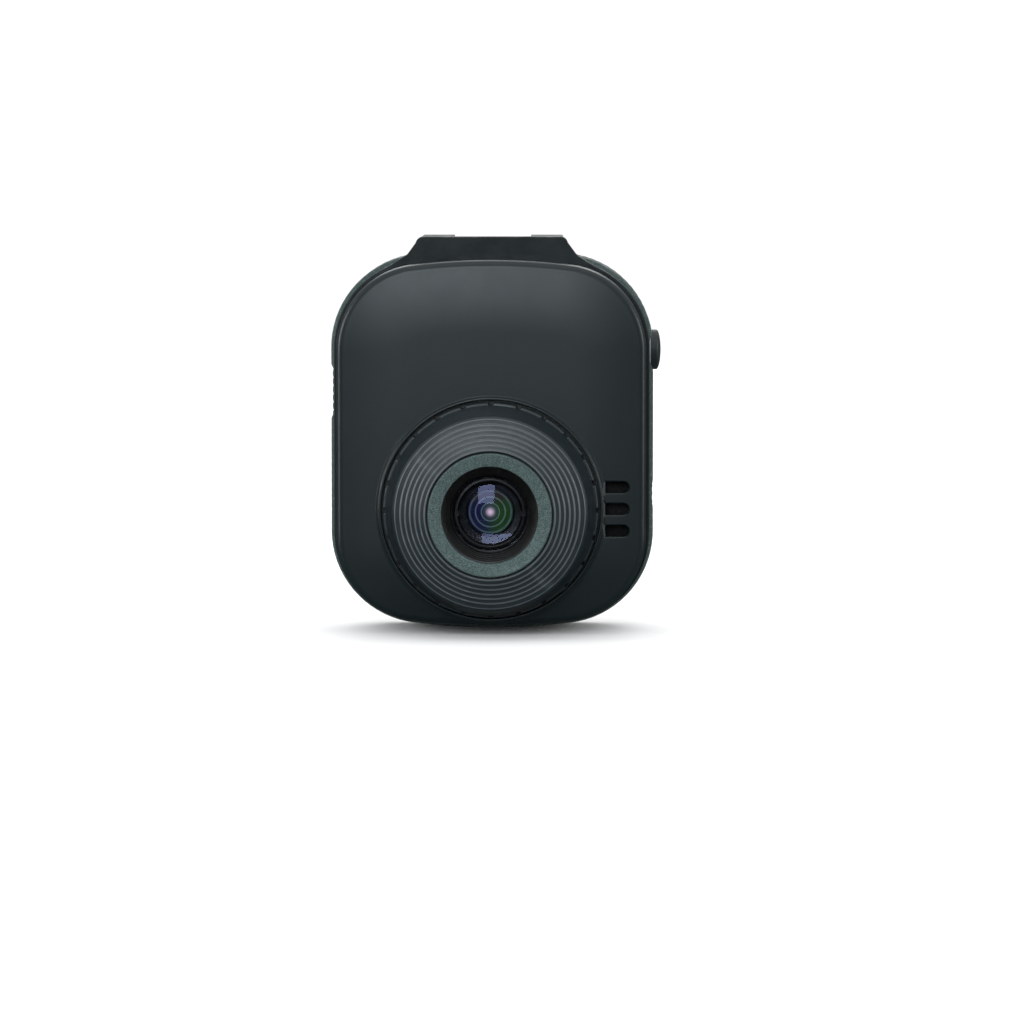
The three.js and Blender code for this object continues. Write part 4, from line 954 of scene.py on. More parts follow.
@dataclass(frozen=True)
class PaintedLensReflection(Finish):
    """Painted reflections of a coated lens, in its base colour: blue to one side, green to the other, brown
    above, pale rings and a painted highlight at the middle.
    """

    # Painted reflection colours: left, right and upper stand for tinted lamp reflections, centre and rim for
    # pale reflections, spot for a painted highlight.
    left: Colour = (26, 25, 66)
    right: Colour = (34, 62, 26)
    upper: Colour = (56, 42, 36)
    centre: Colour = (92, 98, 112)
    rim: Colour = (124, 152, 156)
    spot: Colour = (250, 214, 244)
    painted_highlight_radius: float = 0.8
    reach: float = 3.1
    rings: tuple[tuple[float, float, float], ...] = (
        (2.85, 0.22, 0.40), (2.05, 0.16, 0.55), (1.25, 0.12, 0.60))

    @staticmethod
    def _band(graph: Graph, radius: Value, middle: float, half: float) -> Value:
        """Return a soft ring mask about the lens axis.

        Args:
            graph: the node tree being built.
            radius: the distance from the axis, in metres.
            middle: the ring's radius, in mm.
            half: half the ring's width, in mm.

        Returns:
            One on the ring, falling to nothing at its edges.
        """
        away = graph.math("ABSOLUTE", graph.math("SUBTRACT", radius, middle * METRE))
        return graph.math("SUBTRACT", 1.0, graph.between(away, 0.0, 1.0, 0.0, half * METRE))

    def surface_colour(self, graph: Graph) -> Value:
        """Return the painted reflection colours about the lens axis."""
        parts, radius = graph.about_lens()
        reach = self.reach * METRE
        across = graph.between(parts.outputs["X"], 0.0, 1.0, -reach * 0.55, reach * 0.45)
        above = graph.between(parts.outputs["Z"], 0.0, 1.0, reach * 0.25, reach * 0.8)
        sides = graph.blend(across, linear(self.left), linear(self.right))
        whole = graph.blend(above, sides, linear(self.upper))
        # Painted reflection: pale rings where the inner edges would catch light.
        for middle, half, weight in self.rings:
            ring = graph.times(self._band(graph, radius, middle, half), weight)
            whole = graph.blend(ring, whole, linear(self.rim))
        # Painted sheen: the middle is lifted towards a paler colour.
        hub = graph.math("SUBTRACT", 1.0, graph.between(radius, 0.0, 1.0, reach * 0.05, reach * 0.45))
        whole = graph.blend(graph.times(hub, 0.75), whole, linear(self.centre))
        # Painted pinkish highlight at the very middle.
        return graph.blend(self._band(graph, radius, 0.0, self.painted_highlight_radius), whole, linear(self.spot))


@dataclass(frozen=True)
class CircuitBoard(Finish):
    """Green solder mask over copper traces and plated holes."""

    trace: Colour = (44, 112, 74)
    copper: Colour = (196, 152, 84)

    def _traces(self, graph: Graph) -> tuple[Value, Value]:
        """Return masks of the traces and of the plated holes."""
        cells = graph.add("ShaderNodeTexVoronoi", {
            "Vector": graph.place(), "Scale": 330.0, "Randomness": 0.85}, distance="CHEBYCHEV")
        rings = graph.math("FRACT", graph.times(cells.outputs["Distance"], 5.0))
        trace = graph.between(rings, 0.0, 1.0, 0.55, 0.62)
        spots = graph.add("ShaderNodeTexVoronoi", {"Vector": graph.place(), "Scale": 420.0})
        hole = graph.math("LESS_THAN", spots.outputs["Distance"], 0.16)
        return trace, hole

    def relief_height(self, graph: Graph) -> Value:
        """Return the traces' slight rise."""
        return self._traces(graph)[0]

    def surface_colour(self, graph: Graph) -> Value:
        """Return mask, traces and plated holes."""
        trace, hole = self._traces(graph)
        lined = graph.blend(trace, linear(self.colour), linear(self.trace))
        return graph.blend(hole, lined, linear(self.copper))


@dataclass(frozen=True)
class WovenMesh(Finish):
    """A fine woven cloth of black threads."""

    thread: float = 0.32

    def relief_height(self, graph: Graph) -> Value:
        """Return the crossing threads."""
        parts = graph.add("ShaderNodeSeparateXYZ", {0: graph.place()})
        turns = 2 * math.pi / (self.thread * METRE)
        waves = [graph.math("SINE", graph.times(parts.outputs[key], turns))
                 for key in ("X", "Z")]
        crossing = graph.times(waves[0], waves[1])
        return graph.between(crossing, 0.0, 1.0, -1.0, 1.0)


@dataclass(frozen=True)
class RibbonCable(Finish):
    """Amber film with copper conductors running down it."""

    conductor: Colour = (208, 140, 60)

    def surface_colour(self, graph: Graph) -> Value:
        """Return the film with its conductors."""
        across = graph.add("ShaderNodeSeparateXYZ", {0: graph.place()}).outputs["X"]
        phase = graph.math("FRACT", graph.times(across, 1.0 / (0.7 * METRE)))
        stripe = graph.between(graph.math("PINGPONG", phase, 0.5), 0.0, 1.0, 0.18, 0.26)
        return graph.blend(stripe, super().surface_colour(graph), linear(self.conductor))


@dataclass(frozen=True)
class ScreenGlass(Finish):
    """The display window: gloss black, with the dark picture area showing inside its border."""

    picture: Colour = (22, 25, 30)
    border: float = 2.6

    def surface_colour(self, graph: Graph) -> Value:
        """Return the border and the picture area within it."""
        window = Span.of("display_window")
        offset = graph.add("ShaderNodeVectorMath", {0: graph.place(), 1: tuple(
            v * METRE for v in window.middle)}, operation="SUBTRACT").outputs[0]
        parts = graph.add("ShaderNodeSeparateXYZ", {0: graph.add(
            "ShaderNodeVectorMath", {0: offset}, operation="ABSOLUTE").outputs[0]})
        inside = None
        for key, axis in (("X", 0), ("Z", 2)):
            limit = (window.size[axis] / 2 - self.border) * METRE
            within = graph.math("LESS_THAN", parts.outputs[key], limit)
            inside = within if inside is None else graph.times(inside, within)
        return graph.blend(inside, linear(self.colour), linear(self.picture))


class Palette:
    """Every material of the camera, by the slot or detail that it is for."""

    FINISHES: tuple[Finish, ...] = (
        Finish("cover_plastic", (13, 25, 28), 0.36, relief=0.0012, grain=9000.0, wear=0.05,
               dust=0.0, variation=0.03, specular=0.42),
        Finish("frame_plastic", (14, 24, 26), 0.50, relief=0.003, grain=7000.0, wear=0.10, dust=0.02,
               specular=0.25),
        FleckedPlastic("textured_plastic", (58, 73, 72), 0.70, relief=0.040, grain=6200.0, wear=0.35,
                       dust=0.05, fleck=(150, 160, 152), amount=0.42),
        Finish("ring_plastic", (22, 34, 36), 0.40, relief=0.003, grain=7000.0, wear=0.35, dust=0.03),
        Finish("shroud_plastic", (17, 27, 32), 0.34, relief=0.0015, grain=8000.0, wear=0.35,
               dust=0.03, variation=0.15),
        BlastedMetal("blasted_metal", (50, 67, 67), 0.60, metallic=0.3, relief=0.010, grain=13000.0,
                     wear=0.3, dust=0.02),
        # A paler copy of the shroud plastic: a painted highlight for the terrace edges.
        Finish("terrace_painted_highlight", (66, 74, 78), 0.36, relief=0.0015, grain=8000.0, wear=0.35, dust=0.0,
               variation=0.1, specular=0.6),
        Finish("black_plastic", (8, 8, 8), 0.50, relief=0.004, grain=6000.0, wear=0.15, dust=0.03),
        TurnedMetal("anodised_metal", (26, 27, 30), 0.34, metallic=0.85, relief=0.006, wear=0.35,
                    dust=0.0),
        TurnedMetal("retainer_metal", (46, 47, 49), 0.36, metallic=1.0, relief=0.006, wear=0.5,
                    dust=0.0),
        ClearGlass("lens_glass", (250, 250, 255), 0.015, relief=0.0, dust=0.0, wear=0.0,
                   variation=0.3),
        Finish("chip_resin", (23, 24, 25), 0.58, relief=0.006, grain=9000.0, wear=0.2, dust=0.02),
        CircuitBoard("circuit_board", (16, 66, 42), 0.38, relief=0.02, wear=0.1, dust=0.02),
        WovenMesh("foam", (5, 5, 6), 0.9, relief=0.06, wear=0.0, dust=0.05),
        Finish("battery_foil", (178, 182, 188), 0.36, metallic=0.8, relief=0.03, grain=700.0,
               wear=0.2, dust=0.02),
        Finish("plated_steel", (176, 178, 180), 0.30, metallic=1.0, relief=0.004, grain=2600.0,
               wear=0.2, dust=0.02),
        RibbonCable("flex_film", (140, 88, 30), 0.42, relief=0.01, wear=0.1, dust=0.02),
        ScreenGlass("window_plastic", (6, 7, 8), 0.06, relief=0.0005, grain=900.0, wear=0.0,
                    dust=0.03, variation=0.3, coat=0.6),
        Finish("key_plastic", (20, 31, 33), 0.50, relief=0.006, grain=6500.0, wear=0.4, dust=0.05),
        Finish("light_plastic", (214, 220, 216), 0.32, relief=0.002, wear=0.0, dust=0.05),
        Finish("screw_steel", (44, 45, 48), 0.34, metallic=1.0, relief=0.004, grain=4000.0,
               wear=0.7, dust=0.05),
        Finish("printed_mark", (176, 182, 180), 0.55, relief=0.002, wear=0.0, dust=0.03),
        Finish("gold_contact", (212, 168, 88), 0.26, metallic=1.0, relief=0.002, wear=0.1, dust=0.0),
        Finish("button_bezel", (120, 130, 130), 0.40, metallic=0.35, relief=0.002, wear=0.3, dust=0.02),
        Finish("socket_insulator", (14, 14, 15), 0.45, relief=0.003, wear=0.1, dust=0.02),
        # lens_coating carries painted reflections: its base colour holds tinted lamp reflections and a
        # painted highlight, with specular off.
        PaintedLensReflection("lens_coating", (14, 16, 30), 0.45, relief=0.0, dust=0.0, wear=0.0, specular=0.0),
    )

    def __init__(self) -> None:
        """Build the materials."""
        self.made = {finish.name: finish.material() for finish in self.FINISHES}

    def __getitem__(self, name: str) -> Material:
        """Return the material of a name."""
        return self.made[name]

    def dress_remaining(self) -> None:
        """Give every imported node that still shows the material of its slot."""
        for node, item in frame["nodes"].items():
            if item.hide_render:
                continue
            item.data.materials.clear()
            item.data.materials.append(self.made[SLOT_OF[node]])
            LOG.info("%s: kept as packed, with %s", node, SLOT_OF[node])


# ---- Shared small pieces ----

SCREW_PLACES = {name: Span.of(f"housing_screw_{name}").spot
                for name in ("upper_left", "upper_right", "lower_left", "lower_right")}
SCREWS = list(SCREW_PLACES.values())
SHROUD_SCREWS = [Span.of(f"shroud_screw_{i}").spot for i in (1, 2, 3)]


def post(radius: float, start: float, end: float, place: Pair, steps: int = 40,
         flare: float = 0.0) -> Item:
    """Make a shaft along Y, used as a boss or as a hole's cutter.

    Args:
        radius: its radius.
        start: the y it starts at.
        end: the y it ends at.
        place: its x and z.
        steps: stretches round it.
        flare: how far its end widens at 45 degrees, 0 for none.

    Returns:
        The new object.
    """
    profile = [(0.0, start), (radius, start), (radius, end), (0.0, end)]
    if flare > 0:
        profile[2:3] = [(radius, end - flare), (radius + flare, end)]
    return turned("post", profile, place, turns=steps)


def side_post(profile: Profile, place: Pair, steps: int = 64) -> Item:
    """Make a turned solid along X at a y and z."""
    return turned("side_post", profile, place, Axis.ALONG_X, steps)


# ---- Casing ----

@dataclass
class FrontCover:
    """The crowned front shell, with the lens collar and seat and the speaker slots."""

    palette: Palette
    inset: float = 1.25
    edge_round: float = 1.2
    crown: float = 0.7
    crown_reach: float = 9.8
    wall: float = 1.4
    face_thickness: float = 1.6
    collar_radius: float = 17.2
    collar_wall: float = 0.4
    seat_y: float = FACE_Y + 0.6
    seat_floor: float = 1.8
    neck_bore: float = 11.3
    slot_height: float = 1.8
    slot_pitch: float = 3.35
    slot_start: float = 17.5
    slot_end: float = 21.15
    slot_chamfer: float = 0.17
    slot_depth: float = 3.2
    boss_radius: float = 2.2
    pilot_radius: float = 1.0
    clearance_radius: float = 1.1

    def face_at(self, inset: float) -> float:
        """Return the y of the crowned face at a distance inside the outline."""
        share = (inset - self.inset - self.edge_round) / self.crown_reach
        return FACE_Y + self.crown * (1 - min(max(share, 0.0), 1.0)) ** 2

    def _outside(self) -> Item:
        """Make the solid that the shell is cut from."""
        side_front = FACE_Y + self.crown + self.edge_round
        levels = [(COVER_BACK, self.inset + 0.15), (COVER_BACK - 0.06, self.inset + 0.04),
                  (COVER_BACK - 0.2, self.inset), (side_front + 1.0, self.inset)]
        for k in range(9):
            angle = math.pi / 2 * k / 8
            levels.append((side_front - self.edge_round * math.sin(angle),
                           self.inset + self.edge_round * (1 - math.cos(angle))))
        edge = self.inset + self.edge_round
        for k in range(1, 15):
            inset = edge + self.crown_reach * k / 14
            levels.append((self.face_at(inset), inset))
        return loft("cover", [OUTLINE.ring(y, inset, OUTLINE_POINTS) for y, inset in levels])

    def _hollow(self) -> Item:
        """Make the space inside the shell."""
        inside = self.inset + self.wall
        face = FACE_Y + self.crown + self.face_thickness
        levels = [(COVER_BACK + 1, inside), (face + 0.8, inside), (face + 0.25, inside + 0.25),
                  (face, inside + 0.8), (FACE_Y + self.face_thickness + 0.28, inside + 5)]
        return loft("hollow", [OUTLINE.ring(y, inset, 160) for y, inset in levels])

    def _collar(self) -> Item:
        """Make the raised collar and the seat behind it, as one turned tube."""
        inner = self.collar_radius - self.collar_wall
        back = self.seat_y + self.seat_floor
        profile = filleted([
            (inner, COLLAR_FRONT, 0.14), (self.collar_radius, COLLAR_FRONT, 0.18),
            (self.collar_radius, FACE_Y - 0.05, 0.3), (self.collar_radius + 0.5, FACE_Y + 0.05, 0.1),
            (self.collar_radius + 0.5, FACE_Y + 0.6, 0), (self.collar_radius, FACE_Y + 1.2, 0),
            (self.collar_radius, back, 0), (self.neck_bore, back, 0),
            (self.neck_bore, self.seat_y, 0), (inner, self.seat_y, 0.1),
        ])
        return turned("collar", profile, (LENS_X, LENS_Z), turns=240)

    def _slots(self) -> list[Item]:
        """Make the cutters of the slots, chamfered where they meet the crowned face."""
        cutters = []
        radius = self.slot_height / 2
        for number in (-1, 0, 1):
            z = LENS_Z + number * self.slot_pitch
            outline = [(self.slot_start, z - radius, -1.0, -1.0)]
            outline += [(self.slot_end - radius + radius * math.sin(a), z - radius * math.cos(a),
                         math.sin(a), -math.cos(a))
                        for a in (math.pi * k / 20 for k in range(21))]
            outline.append((self.slot_start, z + radius, -1.0, 1.0))
            rings = []
            chamfer = self.slot_chamfer
            for depth, grown in ((-0.7, chamfer + 0.7), (chamfer, 0.0), (self.slot_depth, 0.0)):
                ring = []
                for x, height, out_x, out_z in outline:
                    face = self.face_at(OUTLINE.half_width - x)
                    ring.append((x + out_x * grown, face + depth, height + out_z * grown))
                rings.append(ring)
            cutters.append(loft("slot", rings))
        return cutters

    def build(self) -> None:
        """Build the cover and place it."""
        shell = self._outside()
        seat_hole = post(self.collar_radius - 0.2, COLLAR_FRONT - 1, COVER_BACK - 2.2, (LENS_X, LENS_Z), 240)
        combine(shell, [self._hollow(), seat_hole])
        bosses = [post(self.boss_radius, FACE_Y + 1.4, COVER_BACK - 0.05, place) for place in SCREWS]
        combine(shell, [self._collar(), *bosses], Join.ADD)
        clear = post(self.collar_radius - self.collar_wall, COLLAR_FRONT - 1, self.seat_y,
                     (LENS_X, LENS_Z), 240)
        pilots = [post(self.pilot_radius, FACE_Y + 2.4, COVER_BACK + 1, place, 24) for place in SCREWS]
        back = self.seat_y + self.seat_floor + 1
        holes = [post(self.clearance_radius, self.seat_y - 1, back, place, 24) for place in SHROUD_SCREWS]
        combine(shell, [clear, *pilots, *holes, *self._slots()])
        settle(shell, self.palette["cover_plastic"], "front_cover")


@dataclass
class MidFrame:
    """The dark frame between the shells, with the bracket shoe on top."""

    palette: Palette
    inset: float = 0.65
    wall: float = 1.95
    edge_round: float = 0.22
    lip_inset: float = 2.95
    lip_wall: float = 0.95
    lip_reach: float = 2.0
    shoe_half: float = 11.45
    shoe_corner: float = 1.0
    flare_drop: float = 2.7
    flare_lean: float = 1.55
    spread: float = 7.55
    block_half: float = 10.95
    shoe_bottom: float = -6.6
    slot_floor: float = 1.2
    neck_half: float = 6.0
    foot_half: float = 8.0
    foot_top: float = -2.4
    foot_bottom: float = -5.0
    mouth_flare: float = 0.6
    speaker_gap: float = 0.3
    lug_radius: float = 2.6
    boss_room: float = 2.5
    screw_bore: float = 1.3

    def _rim_height(self, x: float) -> float:
        """Return the z of the frame's rim at a distance from the middle, on the corner arc."""
        side = OUTLINE.half_width - OUTLINE.corner
        reach = OUTLINE.edge - OUTLINE.corner
        corner = math.sqrt(reach ** 2 - side ** 2) - OUTLINE.edge + OUTLINE.half_height
        radius = OUTLINE.corner - self.inset
        return OUTLINE.middle + corner + math.sqrt(radius ** 2 - (x - side) ** 2)

    def _band(self, front: float, back: float, outer: float, wall: float, soft: float) -> Item:
        """Make a closed band that follows the outline.

        Args:
            front: its front y.
            back: its back y.
            outer: the inset of its outside.
            wall: its thickness.
            soft: the radius of its outer edges.

        Returns:
            The band.
        """
        section = filleted([(outer, front, soft), (outer, back, soft),
                            (outer + wall, back, 0.1), (outer + wall, front, 0.1)], steps=4)
        rings = [OUTLINE.ring(y, inset, OUTLINE_POINTS) for inset, y in section]
        return loft("band", rings, loop=True)

    def _flare(self) -> Item:
        """Make the shoe's flared front wall."""
        top, foot, end = self.shoe_half, self.shoe_half + self.flare_lean, self.shoe_half + self.spread
        waist = (foot + 1.2, -self.flare_drop - 0.85)

        def bend(start: Vector, middle: Vector, finish: Vector, steps: int) -> list[Vector]:
            """Return points on a curve from start to finish, drawn towards middle."""
            shares = [k / steps for k in range(steps + 1)]
            return [start * (1 - t) ** 2 + middle * 2 * t * (1 - t) + finish * t ** 2 for t in shares]

        side = bend(Vector((top - self.shoe_corner, 0.0)), Vector((top, 0.0)),
                    Vector((top + 0.3, -self.shoe_corner)), 6)
        side += bend(Vector((foot, -self.flare_drop)), Vector(waist),
                     Vector((end, self._rim_height(end))), 12)
        side.append(Vector((end - 1.0, self._rim_height(end) - 2.4)))
        side.append(Vector((top, self.shoe_bottom)))
        points = [(v.x, v.y) for v in side] + [(-v.x, v.y) for v in reversed(side)]
        front, back, soft = FRAME_FRONT, FRAME_BACK, 0.22
        rings = []
        for y, shrink in ((front, soft), (front + soft * 0.3, soft * 0.3), (front + soft, 0.0),
                          (back - 0.1, 0.0), (back, 0.1)):
            ring = []
            for x, z in points:
                low = 1.0 if z > self.shoe_bottom + 1 else 0.0
                ring.append((x - math.copysign(shrink * 0.5, x), y, z - shrink * low))
            rings.append(ring)
        return loft("flare", rings)

    def _block(self) -> Item:
        """Make the straight block that the bracket's foot slides into."""
        low = (-self.block_half, FRAME_BACK - 1, self.shoe_bottom)
        high = (self.block_half, FRAME.high[1], FRAME.high[2])
        return rounded_box("block", low, high, 0.25)

    def build(self) -> None:
        """Build the frame and place it."""
        rim = self._band(FRAME_FRONT, FRAME_BACK, self.inset, self.wall, self.edge_round)
        lip = self._band(FRAME_FRONT - self.lip_reach, FRAME_FRONT + 0.9, self.lip_inset,
                         self.lip_wall, 0.15)
        bridge = self._band(FRAME_FRONT + 0.1, FRAME_FRONT + 0.95, self.inset + 0.6, 3.2, 0.05)
        lugs = [post(self.lug_radius, FRAME_FRONT + 0.05, FRAME_BACK - 0.05, place) for place in SCREWS]
        combine(rim, [lip, bridge, *lugs, self._flare(), self._block()], Join.ADD)
        back = FRAME.high[1] + 1
        top, bottom = self.foot_top, self.foot_bottom
        neck = rounded_box("neck", (-self.neck_half, self.slot_floor, top - 0.6),
                           (self.neck_half, back, 1.0), 0.0)
        foot = rounded_box("foot", (-self.foot_half, self.slot_floor, bottom),
                           (self.foot_half, back, top), 0.0)
        mouth = loft("mouth", [
            [(x * (self.foot_half + g), FRAME.high[1] + y, z) for x, z in
             ((1, top + g), (1, bottom - g), (-1, bottom - g), (-1, top + g))]
            for y, g in ((-0.4, 0.0), (0.2, self.mouth_flare))])
        speaker = Span.of("speaker")
        room = rounded_box("speaker_room", tuple(v - self.speaker_gap for v in speaker.low),
                           tuple(v + self.speaker_gap for v in speaker.high), 0.0)
        bores = [post(self.screw_bore, FRAME_FRONT - 1, FRAME_BACK + 1, place, 24) for place in SCREWS]
        boss_room = [post(self.boss_room, FRAME_FRONT - 3, FRAME_FRONT - 0.15, place) for place in SCREWS]
        combine(rim, [neck, foot, mouth, room, *bores, *boss_room])
        settle(rim, self.palette["frame_plastic"], "mid_frame")


@dataclass
class RearHousing:
    """The ribbed, textured rear shell, with every opening for keys, sockets and screws."""

    palette: Palette
    wall: float = 1.8
    back_thickness: float = 1.8
    edge_round: float = 1.4
    rib_pitch: float = 1.27
    rib_depth: float = 0.15
    points_per_rib: int = 7
    window: tuple[float, float, float] = (37.0, 30.0, 1.5)
    key_size: tuple[float, float, float] = (5.6, 3.4, 1.65)
    boss_radius: float = 2.4
    screw_bore: float = 1.3
    counterbore: float = 2.05
    usb_opening: tuple[float, float, float] = (4.5, 8.3, 0.9)
    card_slit: tuple[float, float, float] = (1.6, 11.6, 0.3)
    scoop_depth: float = 1.2
    scoop_width: float = 2.95
    scoop_height: float = 4.4
    notch_half: float = 11.25
    notch_bottom: float = -6.9

    def _ribbed(self) -> Item:
        """Make the outside, with ribs that run front to back round the band."""
        ribs = round(OUTLINE.length() / self.rib_pitch)
        count = ribs * self.points_per_rib
        shape = [abs(math.sin(math.pi * k / self.points_per_rib)) ** 0.7
                 for k in range(self.points_per_rib)]
        front, back = REAR.low[1], REAR_BACK
        side_end = back - self.edge_round
        levels = [(front, 0.22, 0.0), (front + 0.08, 0.07, 0.0), (front + 0.25, 0.0, 0.1),
                  (front + 0.55, 0.0, 0.6), (front + 0.9, 0.0, 1.0), (side_end - 0.9, 0.0, 1.0),
                  (side_end - 0.45, 0.0, 0.7), (side_end, 0.0, 0.3)]
        for k in range(1, 7):
            angle = math.pi / 2 * k / 6
            levels.append((side_end + self.edge_round * math.sin(angle),
                           self.edge_round * (1 - math.cos(angle)), 0.3 * max(0.0, 1 - k / 3)))
        rings = []
        for y, inset, strength in levels:
            def relief(i: int, strength: float = strength) -> float:
                """Return how far the skin dips between ribs."""
                return self.rib_depth * strength * (1 - shape[i % self.points_per_rib])
            rings.append(OUTLINE.ring(y, inset, count, relief))
        return loft("housing", rings)

    def _hollow(self) -> Item:
        """Make the space inside."""
        floor = REAR_BACK - self.back_thickness
        levels = [(REAR.low[1] - 1, self.wall), (floor - 0.5, self.wall), (floor - 0.15, self.wall + 0.15),
                  (floor, self.wall + 0.5)]
        return loft("hollow", [OUTLINE.ring(y, inset, 160) for y, inset in levels])

    def _back_openings(self) -> list[Item]:
        """Make the cutters that go in through the back plate."""
        outside, inside = REAR_BACK + 1, REAR_BACK - self.back_thickness - 1
        lip = 0.18
        rims = [(REAR_BACK - lip, 0.0), (outside, -lip - 1.0)]
        screen = Span.of("display_window")
        place = screen.spot
        width, height, corner = self.window
        cutters = [
            slab("view", place, (width - 3, height - 3, corner), [(inside, 0.0), (outside, 0.0)]),
            slab("recess", place, (width + 0.6, height + 0.6, corner + 0.3),
                 [(REAR_BACK - 1.1, 0.0), *rims]),
        ]
        width, height, corner = self.key_size
        for name in ("ok_key", "down_key", "up_key", "menu_key"):
            key = Span.of(name)
            cutters.append(slab("key_hole", key.spot,
                                (width + 0.7, height + 0.7, corner + 0.35), [(inside, 0.0), *rims]))
        light = Span.of("status_light_pipe")
        cutters.append(post(0.75, inside, REAR_BACK + 0.3, light.spot, 32, 0.42))
        for spot in SCREWS:
            cutters.append(post(self.screw_bore, REAR.low[1] - 1, REAR_BACK - 0.5, spot, 32))
            cutters.append(post(self.counterbore, REAR_BACK - 1.7, REAR_BACK + 0.3, spot, 48, 0.48))
        return cutters

    def _side_openings(self) -> list[Item]:
        """Make the cutters that go in through the side walls and from below."""
        side = REAR.high[0]
        button = Span.of("power_button")
        cutters = [side_post([
            (0.0, side - 2.8), (3.45, side - 2.8), (3.45, side - 1.7), (4.1, side - 1.7),
            (4.1, side - 0.7), (4.55, side - 0.7), (4.7, side - 0.55), (5.3, side + 0.05),
            (5.3, side + 1), (0.0, side + 1)], button.side_spot, 96)]
        usb = Span.of("usb_socket")
        cutters.append(slab("usb_hole", usb.side_spot, self.usb_opening, [
            (-side + 2.8, 0.0), (-side + 0.25, 0.0), (-side - 0.05, -0.3), (-side - 1, -0.3)],
            Axis.ALONG_X))
        card = Span.of("memory_card")
        cutters.append(slab("card_slit", card.side_spot, self.card_slit, [
            (side - 2.8, 0.0), (side - 0.15, 0.0), (side + 0.05, -0.2), (side + 1, -0.2)],
            Axis.ALONG_X))
        cutters.append(self._scoop(card.side_spot))
        ear = Span.of("microphone")
        hole = [(0.0, REAR.low[2] - 1), (0.75, REAR.low[2] - 1), (0.75, REAR.low[2] + 0.35),
                (0.6, REAR.low[2] + 0.5), (0.6, REAR.low[2] + 4), (0.0, REAR.low[2] + 4)]
        cutters.append(turned("ear", hole, (ear.middle[0], 5.6), Axis.ALONG_Z, 32))
        return cutters

    def _scoop(self, place: Pair) -> Item:
        """Make the finger scoop beside the card slit, at its y and z."""
        side = REAR.high[0]
        rings = []
        for k in range(9):
            share = -1 + 2 * k / 8
            half = math.sqrt(max(1 - (abs(share) * 0.985) ** 2, 0.0))
            y, reach = place[0] + 1.2 + self.scoop_width * share, self.scoop_height * half
            ring = []
            for j in range(25):
                angle = math.pi * j / 24
                ring.append((side - self.scoop_depth * half * math.sin(angle), y,
                             place[1] + reach * math.cos(angle)))
            ring.append((side + 1, y, place[1] - reach))
            ring.append((side + 1, y, place[1] + reach))
            rings.append(ring)
        return loft("scoop", rings)

    def _shoe_notch(self) -> Item:
        """Make the notch that the bracket shoe passes through."""
        low = (-self.notch_half, REAR.low[1] - 1, self.notch_bottom)
        return rounded_box("notch", low, (self.notch_half, REAR_BACK + 1, 1.0), 0.0)

    def build(self) -> None:
        """Build the housing and place it."""
        shell = self._ribbed()
        combine(shell, [self._hollow()])
        floor = REAR_BACK - self.back_thickness
        bosses = [post(self.boss_radius, REAR.low[1] + 0.3, floor + 0.5, place) for place in SCREWS]
        combine(shell, bosses, Join.ADD)
        combine(shell, [self._shoe_notch(), *self._back_openings(), *self._side_openings()])
        settle(shell, self.palette["textured_plastic"], "rear_housing")


# ---- Lens nose and lens ----

